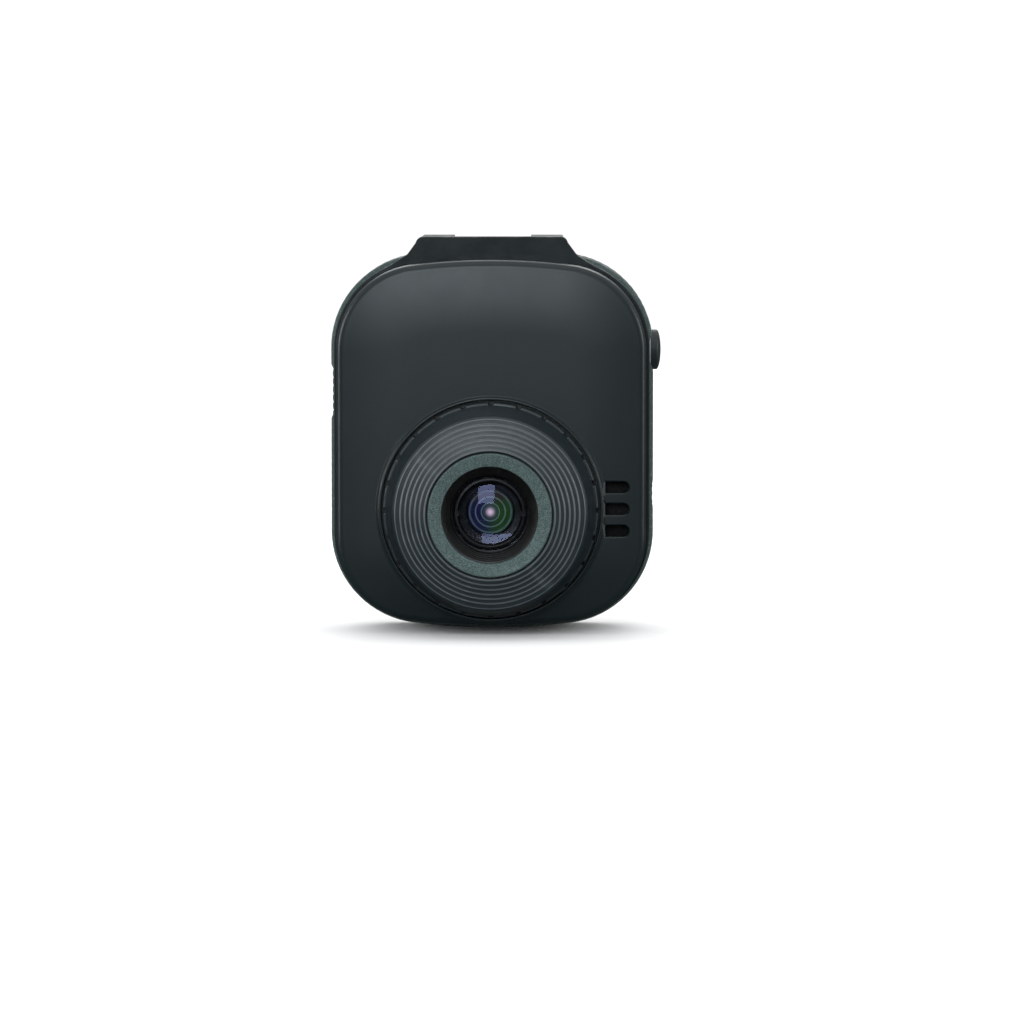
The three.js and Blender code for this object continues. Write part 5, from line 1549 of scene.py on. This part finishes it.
@dataclass
class LensNose:
    """What stands out round the lens: notched ring, terraced shroud, metal ring and baffle."""

    palette: Palette
    ring_outer: float = 16.45
    ring_inner: float = 15.35
    notch_count: int = 24
    notch_radius: float = 0.45
    journal: float = 15.0
    shoulder: float = 16.1
    rim: float = 14.4
    terraces: int = 6
    terrace_rise: float = 0.42
    edge_facing: float = 0.985
    lip: float = 9.95
    neck: float = 11.0
    edge_bore: float = 9.4
    room: float = 12.9
    pilot_radius: float = 0.9
    trim_radius: float = 9.4
    trim_bore: float = 7.35
    baffle_end: float = 5.9
    baffle_radius: float = 8.35

    def _focus_ring(self) -> None:
        """Build the notched ring round the shroud's foot."""
        span = Span.of("focus_ring")
        front, back = span.low[1], span.high[1]
        profile = filleted([
            (self.ring_inner, front, 0.12), (self.ring_outer - 0.05, front, 0.32),
            (self.ring_outer, front + 0.5, 0.1), (self.ring_outer, back, 0.1), (self.ring_inner, back, 0.1)])
        pitch = 2 * math.pi / self.notch_count
        half = self.notch_radius / self.ring_outer
        offsets = [half * 1.25 * k / 6 for k in range(-6, 7)]
        plain = [half * 1.25 + (pitch - half * 2.5) * k / 6 for k in range(1, 6)]
        turns = [n * pitch + offset for n in range(self.notch_count) for offset in offsets + plain]

        def notch(turn: float, radius: float) -> float:
            """Return how far a notch cuts in at an angle."""
            away = (turn + pitch / 2) % pitch - pitch / 2
            arc = away * self.ring_outer
            if radius < self.ring_outer - 0.55 or abs(arc) >= self.notch_radius:
                return 0.0
            return -math.sqrt(self.notch_radius ** 2 - arc ** 2)

        made = turned("ring", profile, (LENS_X, LENS_Z), turns=turns, ripple=notch)
        settle(made, self.palette["ring_plastic"], "focus_ring")

    def _shroud(self) -> None:
        """Build the shroud: neck, steep shoulder, terraces and rounded lip, with a painted highlight on the
        terrace edges.
        """
        span = Span.of("lens_shroud")
        seat = FACE_Y + 0.3
        step = FACE_Y - 2.8
        rim_y = FACE_Y - 9.8
        rise = (self.rim - self.lip) / self.terraces
        corners = [
            (self.neck, span.high[1], 0.1), (self.neck, seat, 0), (self.journal, seat, 0.1),
            (self.journal, step, 0), (self.shoulder, step, 0.12),
            (self.rim + 0.42, rim_y + 0.55, 0.9), (self.rim, rim_y, 0.22),
        ]
        for i in range(1, self.terraces + 1):
            radius = self.rim - i * rise
            corners.append((radius, rim_y - (i - 1) * self.terrace_rise, 0.10))
            top = rim_y - i * self.terrace_rise
            corners.append((radius - 0.06, top, 0.17 if i < self.terraces else 0.22))
        bore, throat = self.trim_radius + 0.3, self.baffle_radius + 0.3
        lip_y = rim_y - self.terraces * self.terrace_rise
        behind = TRIM.high[1]
        corners += [
            (bore, lip_y, 0.12), (bore, behind + 0.3, 0), (throat, behind + 0.3, 0),
            (throat, behind + 4.0, 0), (self.room, behind + 5.5, 0.4),
            (self.room, FACE_Y - 3.5, 0.4), (self.edge_bore, FACE_Y - 2.5, 0),
            (self.edge_bore, span.high[1], 0.1),
        ]
        made = turned("shroud", filleted(corners, steps=4), (LENS_X, LENS_Z), turns=240)
        pilots = [post(self.pilot_radius, FACE_Y - 1.9, span.high[1] + 1, place, 20)
                  for place in SHROUD_SCREWS]
        combine(made, pilots)
        item = settle(made, self.palette["shroud_plastic"], "lens_shroud")
        # The terrace edges get the paler copy: a painted highlight where the ridges catch light.
        item.data.materials.append(self.palette["terrace_painted_highlight"])
        for face in item.data.polygons:
            across, up = face.center.x / METRE - LENS_X, face.center.z / METRE - LENS_Z
            outside = math.hypot(across, up) > self.lip - 0.3
            if outside and abs(face.normal.y) < self.edge_facing and face.center.y / METRE < rim_y + 0.1:
                face.material_index = 1

    def _trim(self) -> None:
        """Build the bead-blasted metal ring, dished towards the lens."""
        front, back = TRIM.low[1], TRIM.high[1]
        profile = filleted([
            (self.trim_bore, front + 0.42, 0.16), (self.trim_radius - 0.1, front, 0.22),
            (self.trim_radius, front + 0.3, 0.15), (self.trim_radius, back, 0.08),
            (self.trim_bore, back, 0.08)], steps=6)
        made = turned("trim", profile, (LENS_X, LENS_Z), turns=240)
        settle(made, self.palette["blasted_metal"], "lens_trim_ring")

    def _baffle(self) -> None:
        """Build the black funnel, with the fine steps that stop glare."""
        span = Span.of("lens_baffle")
        front, back = span.low[1], span.high[1]
        mouth = self.trim_bore - 0.2
        steps = 5
        corners = [(mouth, front, 0.05)]
        for i in range(1, steps + 1):
            share = i / steps
            radius = mouth + (self.baffle_end - mouth) * share
            y = front + (back - front) * share
            corners.append((radius + 0.04, y - 0.10, 0.03))
            corners.append((radius, y - (0.10 if i < steps else 0.0), 0.03))
        corners.reverse()
        outside = [(self.baffle_radius, front, 0.05), (self.baffle_radius, front + 1.0, 0.1),
                   (self.baffle_end + 1.0, back, 0.1)]
        profile = filleted(corners + outside, steps=2)
        made = turned("baffle", profile, (LENS_X, LENS_Z), turns=200)
        settle(made, self.palette["black_plastic"], "lens_baffle")

    def build(self) -> None:
        """Build every piece of the nose."""
        self._focus_ring()
        self._shroud()
        self._trim()
        self._baffle()


@dataclass
class LensModule:
    """The barrel with its glass, the retaining ring and the spacer."""

    palette: Palette
    cell_radius: float = 5.65
    stem_radius: float = 6.0
    bore: float = 3.4
    glass_radius: float = 5.35
    retainer_bore: float = 4.65
    spanner_slot: float = 0.35
    head_radius: float = 7.0
    head_depth: float = 5.6
    end_bore: float = 2.4
    spacer_radius: float = 3.1

    def _barrel(self) -> None:
        """Build the barrel, threaded where the holder grips it."""
        span = Span.of("lens_barrel")
        front, back = span.low[1], span.high[1]
        corners = [
            (self.cell_radius, front, 0.08), (self.head_radius, front, 0.2),
            (self.head_radius, front + self.head_depth, 0.2),
            (self.stem_radius, front + self.head_depth, 0.1)]
        thread = front + 6.4
        while thread < back - 1.2:
            corners.append((self.stem_radius, thread, 0.03))
            corners.append((self.stem_radius - 0.22, thread + 0.25, 0.03))
            thread += 0.5
        corners += [(self.stem_radius, back - 0.5, 0.1), (self.stem_radius - 0.3, back, 0),
                    (self.end_bore, back, 0.1), (self.end_bore, back - 2, 0.1), (self.bore, back - 2, 0)]
        for i in range(4):
            y = front + 5.0 - i * 0.4
            corners.append((self.bore, y, 0.02))
            corners.append((self.bore - 0.08, y - 0.12, 0.02))
        corners += [(self.bore, front + 3.0, 0.25), (self.cell_radius, front + 3.0, 0)]
        made = turned("barrel", filleted(corners, steps=3), (LENS_X, LENS_Z), turns=120)
        settle(made, self.palette["anodised_metal"], "lens_barrel")

    def _retainer(self) -> None:
        """Build the retaining ring, with two slots for a spanner."""
        span = Span.of("lens_retainer_ring")
        front, back = span.low[1], span.high[1]
        profile = filleted([
            (self.retainer_bore, front + 0.32, 0.06), (self.retainer_bore + 0.3, front, 0.06),
            (self.glass_radius, front, 0.08), (self.glass_radius, back, 0.05),
            (self.retainer_bore, back, 0.05)], steps=3)
        made = turned("retainer", profile, (LENS_X, LENS_Z), turns=160)
        half = self.spanner_slot
        slots = [rounded_box("spanner", (x - 0.6, front - 1, LENS_Z - half),
                             (x + 0.6, front + half, LENS_Z + half), 0.0) for x in (-5.3, 5.3)]
        combine(made, slots)
        settle(made, self.palette["retainer_metal"], "lens_retainer_ring")

    def _glass(self, node: str, dome: float, finish: str, rings: int = 20) -> None:
        """Build a lens element with a domed front and a ground rim.

        Args:
            node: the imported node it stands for.
            dome: how far the front stands out at the middle.
            finish: its material.
            rings: how many rings the dome has.
        """
        span = Span.of(node)
        radius, front, back = span.size[0] / 2, span.low[1], span.high[1]
        profile: Profile = [(0.0, front)]
        for k in range(1, rings + 1):
            share = k / rings
            profile.append((radius * 0.985 * share, front + dome * share ** 2))
        profile += [(radius, front + dome + 0.08), (radius, back - 0.08), (radius - 0.08, back),
                    (radius * 0.5, back), (0.0, back)]
        made = turned(node, profile, (LENS_X, LENS_Z), turns=128)
        made.visible_shadow = False
        settle(made, self.palette[finish], node)

    def _spacer(self) -> None:
        """Build the grooved spacer between the inner elements."""
        span = Span.of("lens_spacer")
        front, back = span.low[1], span.high[1]
        outer, inner = self.spacer_radius, self.end_bore
        corners = [(outer, front, 0.08), (outer, back, 0.08), (inner, back, 0.08)]
        y = back - 0.35
        while y > front + 0.4:
            corners.append((inner, y, 0.02))
            corners.append((inner + 0.1, y - 0.15, 0.02))
            y -= 0.35
        corners.append((inner, front, 0.08))
        made = turned("spacer", filleted(corners, steps=2), (LENS_X, LENS_Z), turns=80)
        settle(made, self.palette["anodised_metal"], "lens_spacer")

    def build(self) -> None:
        """Build the barrel and everything in it."""
        self._barrel()
        self._retainer()
        self._glass("front_lens", 0.9, "lens_glass")
        # The middle element wears lens_coating, whose colours are painted reflections and a painted
        # highlight.
        self._glass("middle_lens", 0.6, "lens_coating")
        self._glass("rear_lens", 0.25, "lens_glass")
        self._spacer()


# ---- Back, sides and fasteners ----

class Mark(Enum):
    """The plain symbol sunk into a rear key."""

    RING = "ring"
    DOWN = "down"
    UP = "up"
    BARS = "bars"


@dataclass
class RearPanel:
    """The display window, the keys with their marks, and the status light."""

    palette: Palette
    key_size: tuple[float, float, float] = (5.6, 3.4, 1.65)
    key_round: float = 0.4
    mark_depth: float = 0.12

    def _window(self) -> None:
        """Build the display window with its softened rim."""
        span = Span.of("display_window")
        made = slab("window", span.spot, (span.size[0], span.size[2], 1.5),
                    eased(span.low[1], span.high[1], 0.18, at_start=False))
        settle(made, self.palette["window_plastic"], "display_window")

    def _cutters(self, mark: Mark, x: float, z: float, top: float) -> list[Item]:
        """Make the cutters of a key's mark.

        Args:
            mark: which mark.
            x: the key's middle.
            z: the key's height.
            top: the y of the key's face.

        Returns:
            The cutters.
        """
        floor = top - self.mark_depth
        if mark is Mark.BARS:
            return [rounded_box("bar", (x - 0.75, floor, z + h - 0.1), (x + 0.75, top + 1, z + h + 0.1), 0.0)
                    for h in (-0.5, 0.0, 0.5)]
        if mark is Mark.RING:
            profile = [(0.42, floor), (0.68, floor), (0.68, top + 1), (0.42, top + 1)]
            return [turned("circle", profile, (x, z), turns=48)]
        way = 1.0 if mark is Mark.UP else -1.0
        shape = [(x - 0.75, z - 0.45 * way), (x + 0.75, z - 0.45 * way), (x, z + 0.6 * way)]
        return [loft("arrow", [[(px, y, pz) for px, pz in shape] for y in (floor, top + 1)])]

    def _key(self, node: str, mark: Mark) -> None:
        """Build one key: a softened, slightly dished cap on its stop flange, with its mark.

        Args:
            node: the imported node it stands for.
            mark: the mark on its cap.
        """
        span = Span.of(node)
        x, z = span.middle[0], span.middle[2]
        width, height, corner = self.key_size
        flange_back = span.low[1] + 0.7
        top = span.high[1]
        cap_levels = [(flange_back - 0.1, 0.0), (top - 0.45, 0.0)]
        soft = self.key_round
        for k in range(1, 7):
            angle = math.pi / 2 * k / 6
            cap_levels.append((top - soft + soft * math.sin(angle), soft * (1 - math.cos(angle))))
        cap_levels += [(top - 0.02, 0.6), (top - 0.06, 0.85), (top - 0.08, 1.1)]
        cap = slab("cap", (x, z), (width, height, corner), cap_levels, steps=14)
        flange = slab("flange", (x, z), (span.size[0], span.size[2], 0.5),
                      eased(span.low[1], flange_back, 0.1), steps=5)
        combine(cap, [flange], Join.ADD)
        combine(cap, self._cutters(mark, x, z, top - 0.08))
        mesh = cap.data
        mesh.materials.append(self.palette["key_plastic"])
        mesh.materials.append(self.palette["printed_mark"])
        floor = (top - 0.08 - self.mark_depth) * METRE
        for face in mesh.polygons:
            sunk = abs(face.center.y - floor) < 0.00001 and face.normal.y > 0.9
            face.material_index = 1 if sunk else 0
        settle(cap, None, node)

    def _light(self) -> None:
        """Build the light pipe with its rounded tip."""
        span = Span.of("status_light_pipe")
        radius, low, high = span.size[0] / 2, span.low[1], span.high[1]
        profile = filleted([(0.0, low, 0), (radius, low, 0.08), (radius, high, 0.3), (0.0, high, 0)],
                           closed=False)
        made = turned("light", profile, span.spot, turns=48)
        settle(made, self.palette["light_plastic"], "status_light_pipe")

    def build(self) -> None:
        """Build the window, keys and light."""
        self._window()
        for node, mark in (("ok_key", Mark.RING), ("down_key", Mark.DOWN),
                           ("up_key", Mark.UP), ("menu_key", Mark.BARS)):
            self._key(node, mark)
        self._light()


@dataclass
class SideControls:
    """The round side button and its bezel, the USB socket and the memory card."""

    palette: Palette
    button_radius: float = 3.1
    bezel_outer: float = 3.95
    bezel_inner: float = 3.45

    def _button(self) -> None:
        """Build the domed button on its stop flange."""
        span = Span.of("power_button")
        inside, crown = span.low[0], span.high[0]
        flange = inside + 0.7
        shoulder = crown - 0.7
        profile: Profile = [(0.0, inside), (3.62, inside), (3.7, inside + 0.08), (3.7, flange - 0.08),
                            (3.62, flange), (self.button_radius, flange), (self.button_radius, shoulder)]
        rounds = 12
        for k in range(1, rounds + 1):
            angle = math.pi / 2 * k / rounds
            profile.append((self.button_radius * math.cos(angle) if k < rounds else 0.0,
                            shoulder + 0.7 * math.sin(angle)))
        made = turned("button", profile, span.side_spot, Axis.ALONG_X, 128)
        settle(made, self.palette["key_plastic"], "power_button")

    def _bezel(self) -> None:
        """Build the bright ring round the button."""
        span = Span.of("power_button_bezel")
        back, front = span.low[0], span.high[0]
        profile = filleted([(self.bezel_inner, back, 0.05), (self.bezel_outer, back, 0.05),
                            (self.bezel_outer, front, 0.16), (self.bezel_inner, front, 0.12)])
        made = turned("bezel", profile, span.side_spot, Axis.ALONG_X, 128)
        settle(made, self.palette["button_bezel"], "power_button_bezel")

    def _usb(self) -> None:
        """Build the socket's folded shell, its tongue and its contacts."""
        span = Span.of("usb_socket")
        place = span.side_spot
        mouth, inner = span.low[0], span.high[0]
        thick, wide = span.size[1], span.size[2]
        shell = slab("shell", place, (thick, wide, 0.7), eased(mouth, inner, 0.12, at_end=False),
                     Axis.ALONG_X, 6)
        room = slab("room", place, (thick - 0.7, wide - 0.7, 0.4),
                    [(mouth - 1, -1.2), (mouth + 0.12, 0.0), (inner - 0.8, 0.0)], Axis.ALONG_X, 6)
        combine(shell, [room])
        shell.data.materials.append(self.palette["plated_steel"])
        y, z = place
        tongue = rounded_box("tongue", (mouth + 1.5, y - 0.4, z - 2.2), (inner - 0.5, y + 0.4, z + 2.2), 0.12)
        tongue.data.materials.append(self.palette["socket_insulator"])
        parts = [shell, tongue]
        for k in range(5):
            at = z + (k - 2) * 0.8
            contact = rounded_box("contact", (mouth + 1.7, y + 0.37, at - 0.16),
                                  (inner - 0.6, y + 0.47, at + 0.16), 0.03, 1)
            contact.data.materials.append(self.palette["gold_contact"])
            parts.append(contact)
        settle(merged("usb", parts), None, "usb_socket")

    def _card(self) -> None:
        """Build the memory card, with its notch, thumb ridge and contacts."""
        span = Span.of("memory_card")
        (x0, y0, z0), (x1, y1, z1) = span.low, span.high
        shape = [(x0 + 0.4, z0 + 1.2, 0.2), (x0 + 5.2, z0 + 1.2, 0.2), (x0 + 6.0, z0, 0.3),
                 (x1, z0, 0.5), (x1, z1, 0.5), (x0, z1, 0.7), (x0, z0 + 1.6, 0.2)]
        outline = filleted(shape, steps=4)
        middle = (sum(x for x, _ in outline) / len(outline), sum(z for _, z in outline) / len(outline))
        rings = []
        for y, shrink in ((y0, 0.12), (y0 + 0.12, 0.0), (y1 - 0.32, 0.0), (y1 - 0.2, 0.12)):
            rings.append([(x - math.copysign(min(shrink, abs(x - middle[0])), x - middle[0]), y,
                           z - math.copysign(min(shrink, abs(z - middle[1])), z - middle[1]))
                          for x, z in outline])
        card = loft("card", rings)
        ridge = rounded_box("ridge", (x1 - 1.3, y1 - 0.5, z0 + 0.8), (x1 - 0.15, y1, z1 - 0.8), 0.15)
        combine(card, [ridge], Join.ADD)
        card.data.materials.append(self.palette["black_plastic"])
        parts = [card]
        for k in range(8):
            at = z1 - 1.6 - k * 1.05
            contact = rounded_box("contact", (x0 + 0.6, y1 - 0.22, at - 0.38),
                                  (x0 + 3.2, y1 - 0.17, at + 0.38), 0.02, 1)
            contact.data.materials.append(self.palette["gold_contact"])
            parts.append(contact)
        settle(merged("card", parts), None, "memory_card")

    def build(self) -> None:
        """Build every control and socket of the sides."""
        self._button()
        self._bezel()
        self._usb()
        self._card()


@dataclass
class Fasteners:
    """The casing, board and shroud screws, all with a cross recess and a thread."""

    palette: Palette
    pitch: float = 0.7

    def _screw(self, node: str, radius: float, head_radius: float, head_height: float) -> None:
        """Build one screw, its head towards the back.

        Args:
            node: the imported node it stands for.
            radius: the thread's outer radius.
            head_radius: the head's radius.
            head_height: the head's height.
        """
        span = Span.of(node)
        place = span.spot
        tip, back = span.low[1], span.high[1]
        seat = back - head_height
        corners = [(0.0, tip, 0), (radius * 0.35, tip + 0.1, 0.05), (radius * 0.85, tip + radius, 0.05)]
        y = tip + radius + 0.1
        while y < seat - self.pitch:
            corners.append((radius * 0.80, y, 0.0))
            corners.append((radius, y + self.pitch / 2, 0.03))
            y += self.pitch
        corners += [(radius * 0.85, seat - 0.2, 0.05), (radius * 0.85, seat, 0), (head_radius, seat, 0.1),
                    (head_radius, back - head_height * 0.45, 0.3), (head_radius * 0.72, back, 0.35),
                    (0.0, back, 0)]
        made = turned("screw", filleted(corners, closed=False, steps=3), place, turns=40)
        reach, half = head_radius * 0.58, head_radius * 0.15
        floor = back - head_height * 0.62
        arms = []
        for wide, tall in ((reach, half), (half, reach)):
            rings = [[(place[0] + px * wide * g, y, place[1] + pz * tall * g)
                      for px, pz in ((1, 1), (-1, 1), (-1, -1), (1, -1))]
                     for y, g in ((floor, 0.62), (back - 0.05, 1.0), (back + 0.6, 1.12))]
            arms.append(loft("arm", rings))
        combine(made, arms)
        settle(made, self.palette["screw_steel"], node)

    def build(self) -> None:
        """Build all ten screws."""
        for name in SCREW_PLACES:
            self._screw(f"housing_screw_{name}", 1.0, 1.75, 1.1)
        for name in ("board_screw_left", "board_screw_right", "board_screw_bottom",
                     "shroud_screw_1", "shroud_screw_2", "shroud_screw_3"):
            self._screw(name, 0.8, 1.5, 0.9)


@dataclass
class Electronics:
    """The softened boxes inside: chips, battery, speaker, display and switches."""

    palette: Palette
    edges: dict[str, float] = field(default_factory=lambda: {
        "processor_chip": 0.12, "memory_chip": 0.12, "motion_sensor_chip": 0.1, "image_sensor": 0.08,
        "battery_cell": 0.9, "battery_pad": 0.2, "speaker_gauze": 0.12, "lcd_panel": 0.3,
        "microphone": 0.2, "power_switch": 0.2, "ok_switch": 0.2, "down_switch": 0.2, "up_switch": 0.2,
        "menu_switch": 0.2, "status_led": 0.1, "infrared_filter": 0.05,
    })

    def _box(self, node: str, radius: float) -> None:
        """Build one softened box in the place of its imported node."""
        span = Span.of(node)
        made = rounded_box(node, span.low, span.high, radius, 4)
        if node.endswith("_chip"):
            corner = (span.low[0] + 0.8, span.high[2] - 0.8)
            dot = post(0.3, span.low[1] - 1, span.low[1] + 0.08, corner, 24)
            combine(made, [dot])
        if node.endswith("_switch") and node != "power_switch":
            floor, above = span.high[1] - 0.25, span.high[1] + 1
            profile = [(1.05, floor), (1.35, floor), (1.35, above), (1.05, above)]
            combine(made, [turned("groove", profile, span.spot, turns=48)])
        settle(made, self.palette[SLOT_OF[node]], node)

    def _speaker(self) -> None:
        """Build the speaker: a softened frame, with a round cone sunk in its front."""
        span = Span.of("speaker")
        x, _, z = span.middle
        front = span.low[1]
        made = rounded_box("speaker", span.low, span.high, 0.5, 4)
        profile = filleted([(0.0, front + 0.55, 0), (1.5, front + 0.45, 0.5), (3.6, front + 0.9, 0.4),
                            (4.3, front + 0.35, 0.4), (4.9, front + 0.5, 0.1), (4.9, front - 1, 0),
                            (0.0, front - 1, 0)], closed=False)
        combine(made, [turned("cone", profile, (x, z), turns=96)])
        settle(made, self.palette["black_plastic"], "speaker")

    def build(self) -> None:
        """Build every softened box."""
        for node, radius in self.edges.items():
            self._box(node, radius)
        self._speaker()


# ---- Studio ----

@dataclass(frozen=True)
class Softbox:
    """One soft rectangular light."""

    name: str
    place: Point
    aim: Point
    width: float
    height: float
    power: float
    colour: tuple[float, float, float] = (1.0, 1.0, 1.0)

    def build(self) -> None:
        """Build the light and turn it to its aim."""
        data = bpy.data.lights.new(self.name, "AREA")
        data.shape = "RECTANGLE"
        data.size = self.width
        data.size_y = self.height
        data.energy = self.power
        data.color = self.colour
        item = bpy.data.objects.new(self.name, data)
        bpy.context.scene.collection.objects.link(item)
        item.location = self.place
        item.rotation_mode = "QUATERNION"
        item.rotation_quaternion = (Vector(self.place) - Vector(self.aim)).to_track_quat("Z", "Y")
        item.visible_camera = False


@dataclass
class Studio:
    """A pale floor, a pale surround, soft lights and the camera."""

    floor_half: float = 12.0
    card_half: float = 2.5
    card_glow: float = 0.06
    sky: float = 1.12
    focal_length: float = 180.5
    sensor: float = 36.0
    distance: float = 0.8
    azimuth: float = 0.7
    elevation: float = 4.4
    aim: Point = (0.00306, 0.005, -0.0430)
    lights: tuple[Softbox, ...] = (
        Softbox("overhead_softbox", (0.0, -0.22, 0.62), (0.0, -0.01, -0.03), 0.50, 0.36, 0.3),
        Softbox("front_softbox", (-0.08, -0.83, 0.23), (0.0, -0.01, -0.03), 0.28, 0.34, 2.1,
                colour=(0.91, 1.0, 1.04)),
        Softbox("left_softbox", (-0.66, -0.10, 0.02), (0.0, 0.0, -0.03), 0.10, 0.50, 2.4),
        Softbox("right_softbox", (0.66, -0.08, 0.02), (0.0, 0.0, -0.03), 0.10, 0.50, 1.7),
        Softbox("rear_softbox", (0.0, 0.75, 0.45), (0.0, 0.0, -0.03), 0.60, 0.40, 2.4),
    )

    @staticmethod
    def _sheet(name: str, half: float, z: float) -> tuple[Item, Graph]:
        """Make a level square that faces up, with an empty material.

        Args:
            name: its name and its material's.
            half: half its side, in metres.
            z: its height, in mm.

        Returns:
            The square and the hand on its material.
        """
        reach = half / METRE
        points = [(-reach, -reach, z), (reach, -reach, z), (reach, reach, z), (-reach, reach, z)]
        sheet = make_object(name, points, [(0, 1, 2, 3)])
        if sheet.data.polygons[0].normal.z < 0:
            sheet.data.flip_normals()
        made = bpy.data.materials.new(name)
        made.use_nodes = True
        made.node_tree.nodes.clear()
        sheet.data.materials.append(made)
        return sheet, Graph(made.node_tree)

    def _floor(self) -> None:
        """Build the floor just under the camera body."""
        floor, graph = self._sheet("floor", self.floor_half, REAR.low[2] - 0.02)
        cloud = graph.noise(6.0, 3.0)
        shader = graph.add("ShaderNodeBsdfPrincipled", {
            "Base Color": graph.blend(cloud, (0.93, 0.93, 0.93, 1.0), (0.96, 0.96, 0.96, 1.0)),
            "Roughness": 0.9, "Specular IOR Level": 0.1})
        graph.add("ShaderNodeOutputMaterial", {"Surface": shader.outputs[0]})

    def _dark_card(self) -> None:
        """Build the card that keeps the pale floor out of the gloss, seen by reflections only."""
        card, graph = self._sheet("dark_card", self.card_half, REAR.low[2] - 0.01)
        glow = graph.add("ShaderNodeEmission", {"Color": (0.9, 1.0, 1.0, 1.0), "Strength": self.card_glow})
        graph.add("ShaderNodeOutputMaterial", {"Surface": glow.outputs[0]})
        card.visible_camera = False
        card.visible_diffuse = False
        card.visible_shadow = False

    def _surround(self) -> None:
        """Light the surround: white behind the object, a soft gradient in reflections."""
        world = bpy.data.worlds.new("surround")
        bpy.context.scene.world = world
        world.use_nodes = True
        world.node_tree.nodes.clear()
        graph = Graph(world.node_tree)
        rays = graph.add("ShaderNodeLightPath")
        high = graph.add("ShaderNodeSeparateXYZ", {
            0: graph.add("ShaderNodeTexCoord").outputs["Generated"]}).outputs["Z"]
        gradient = graph.between(high, 0.10, 0.85, -0.05, 0.9)
        gloss = graph.add("ShaderNodeBackground", {"Color": (0.96, 0.985, 1.0, 1.0), "Strength": gradient})
        plain = graph.add("ShaderNodeBackground", {"Color": (1.0, 1.0, 1.0, 1.0), "Strength": self.sky})
        mix = graph.add("ShaderNodeMixShader", {
            0: rays.outputs["Is Glossy Ray"], 1: plain.outputs[0], 2: gloss.outputs[0]})
        graph.add("ShaderNodeOutputWorld", {"Surface": mix.outputs[0]})

    def _camera(self) -> None:
        """Place the camera."""
        data = bpy.data.cameras.new("viewpoint")
        data.lens = self.focal_length
        data.sensor_width = self.sensor
        data.clip_start = 0.01
        data.clip_end = 50.0
        item = bpy.data.objects.new("viewpoint", data)
        bpy.context.scene.collection.objects.link(item)
        turn, rise = math.radians(self.azimuth), math.radians(self.elevation)
        back = Vector((math.sin(turn) * math.cos(rise), -math.cos(turn) * math.cos(rise), math.sin(rise)))
        item.location = Vector(self.aim) + back * self.distance
        item.rotation_mode = "QUATERNION"
        item.rotation_quaternion = back.to_track_quat("Z", "Y")
        bpy.context.scene.camera = item

    def build(self) -> None:
        """Build the whole studio."""
        self._floor()
        self._dark_card()
        self._surround()
        for light in self.lights:
            light.build()
        self._camera()
        bpy.context.scene.view_settings.view_transform = "Standard"


def main() -> None:
    """Build the studio and every sub-assembly, in order."""
    logging.basicConfig(level=logging.INFO, format="%(name)s %(message)s")
    Studio().build()
    palette = Palette()
    for assembly in (FrontCover, MidFrame, RearHousing, LensNose, LensModule, RearPanel,
                     SideControls, Fasteners, Electronics):
        assembly(palette).build()
    palette.dress_remaining()


if __name__ == "__main__":
    main()
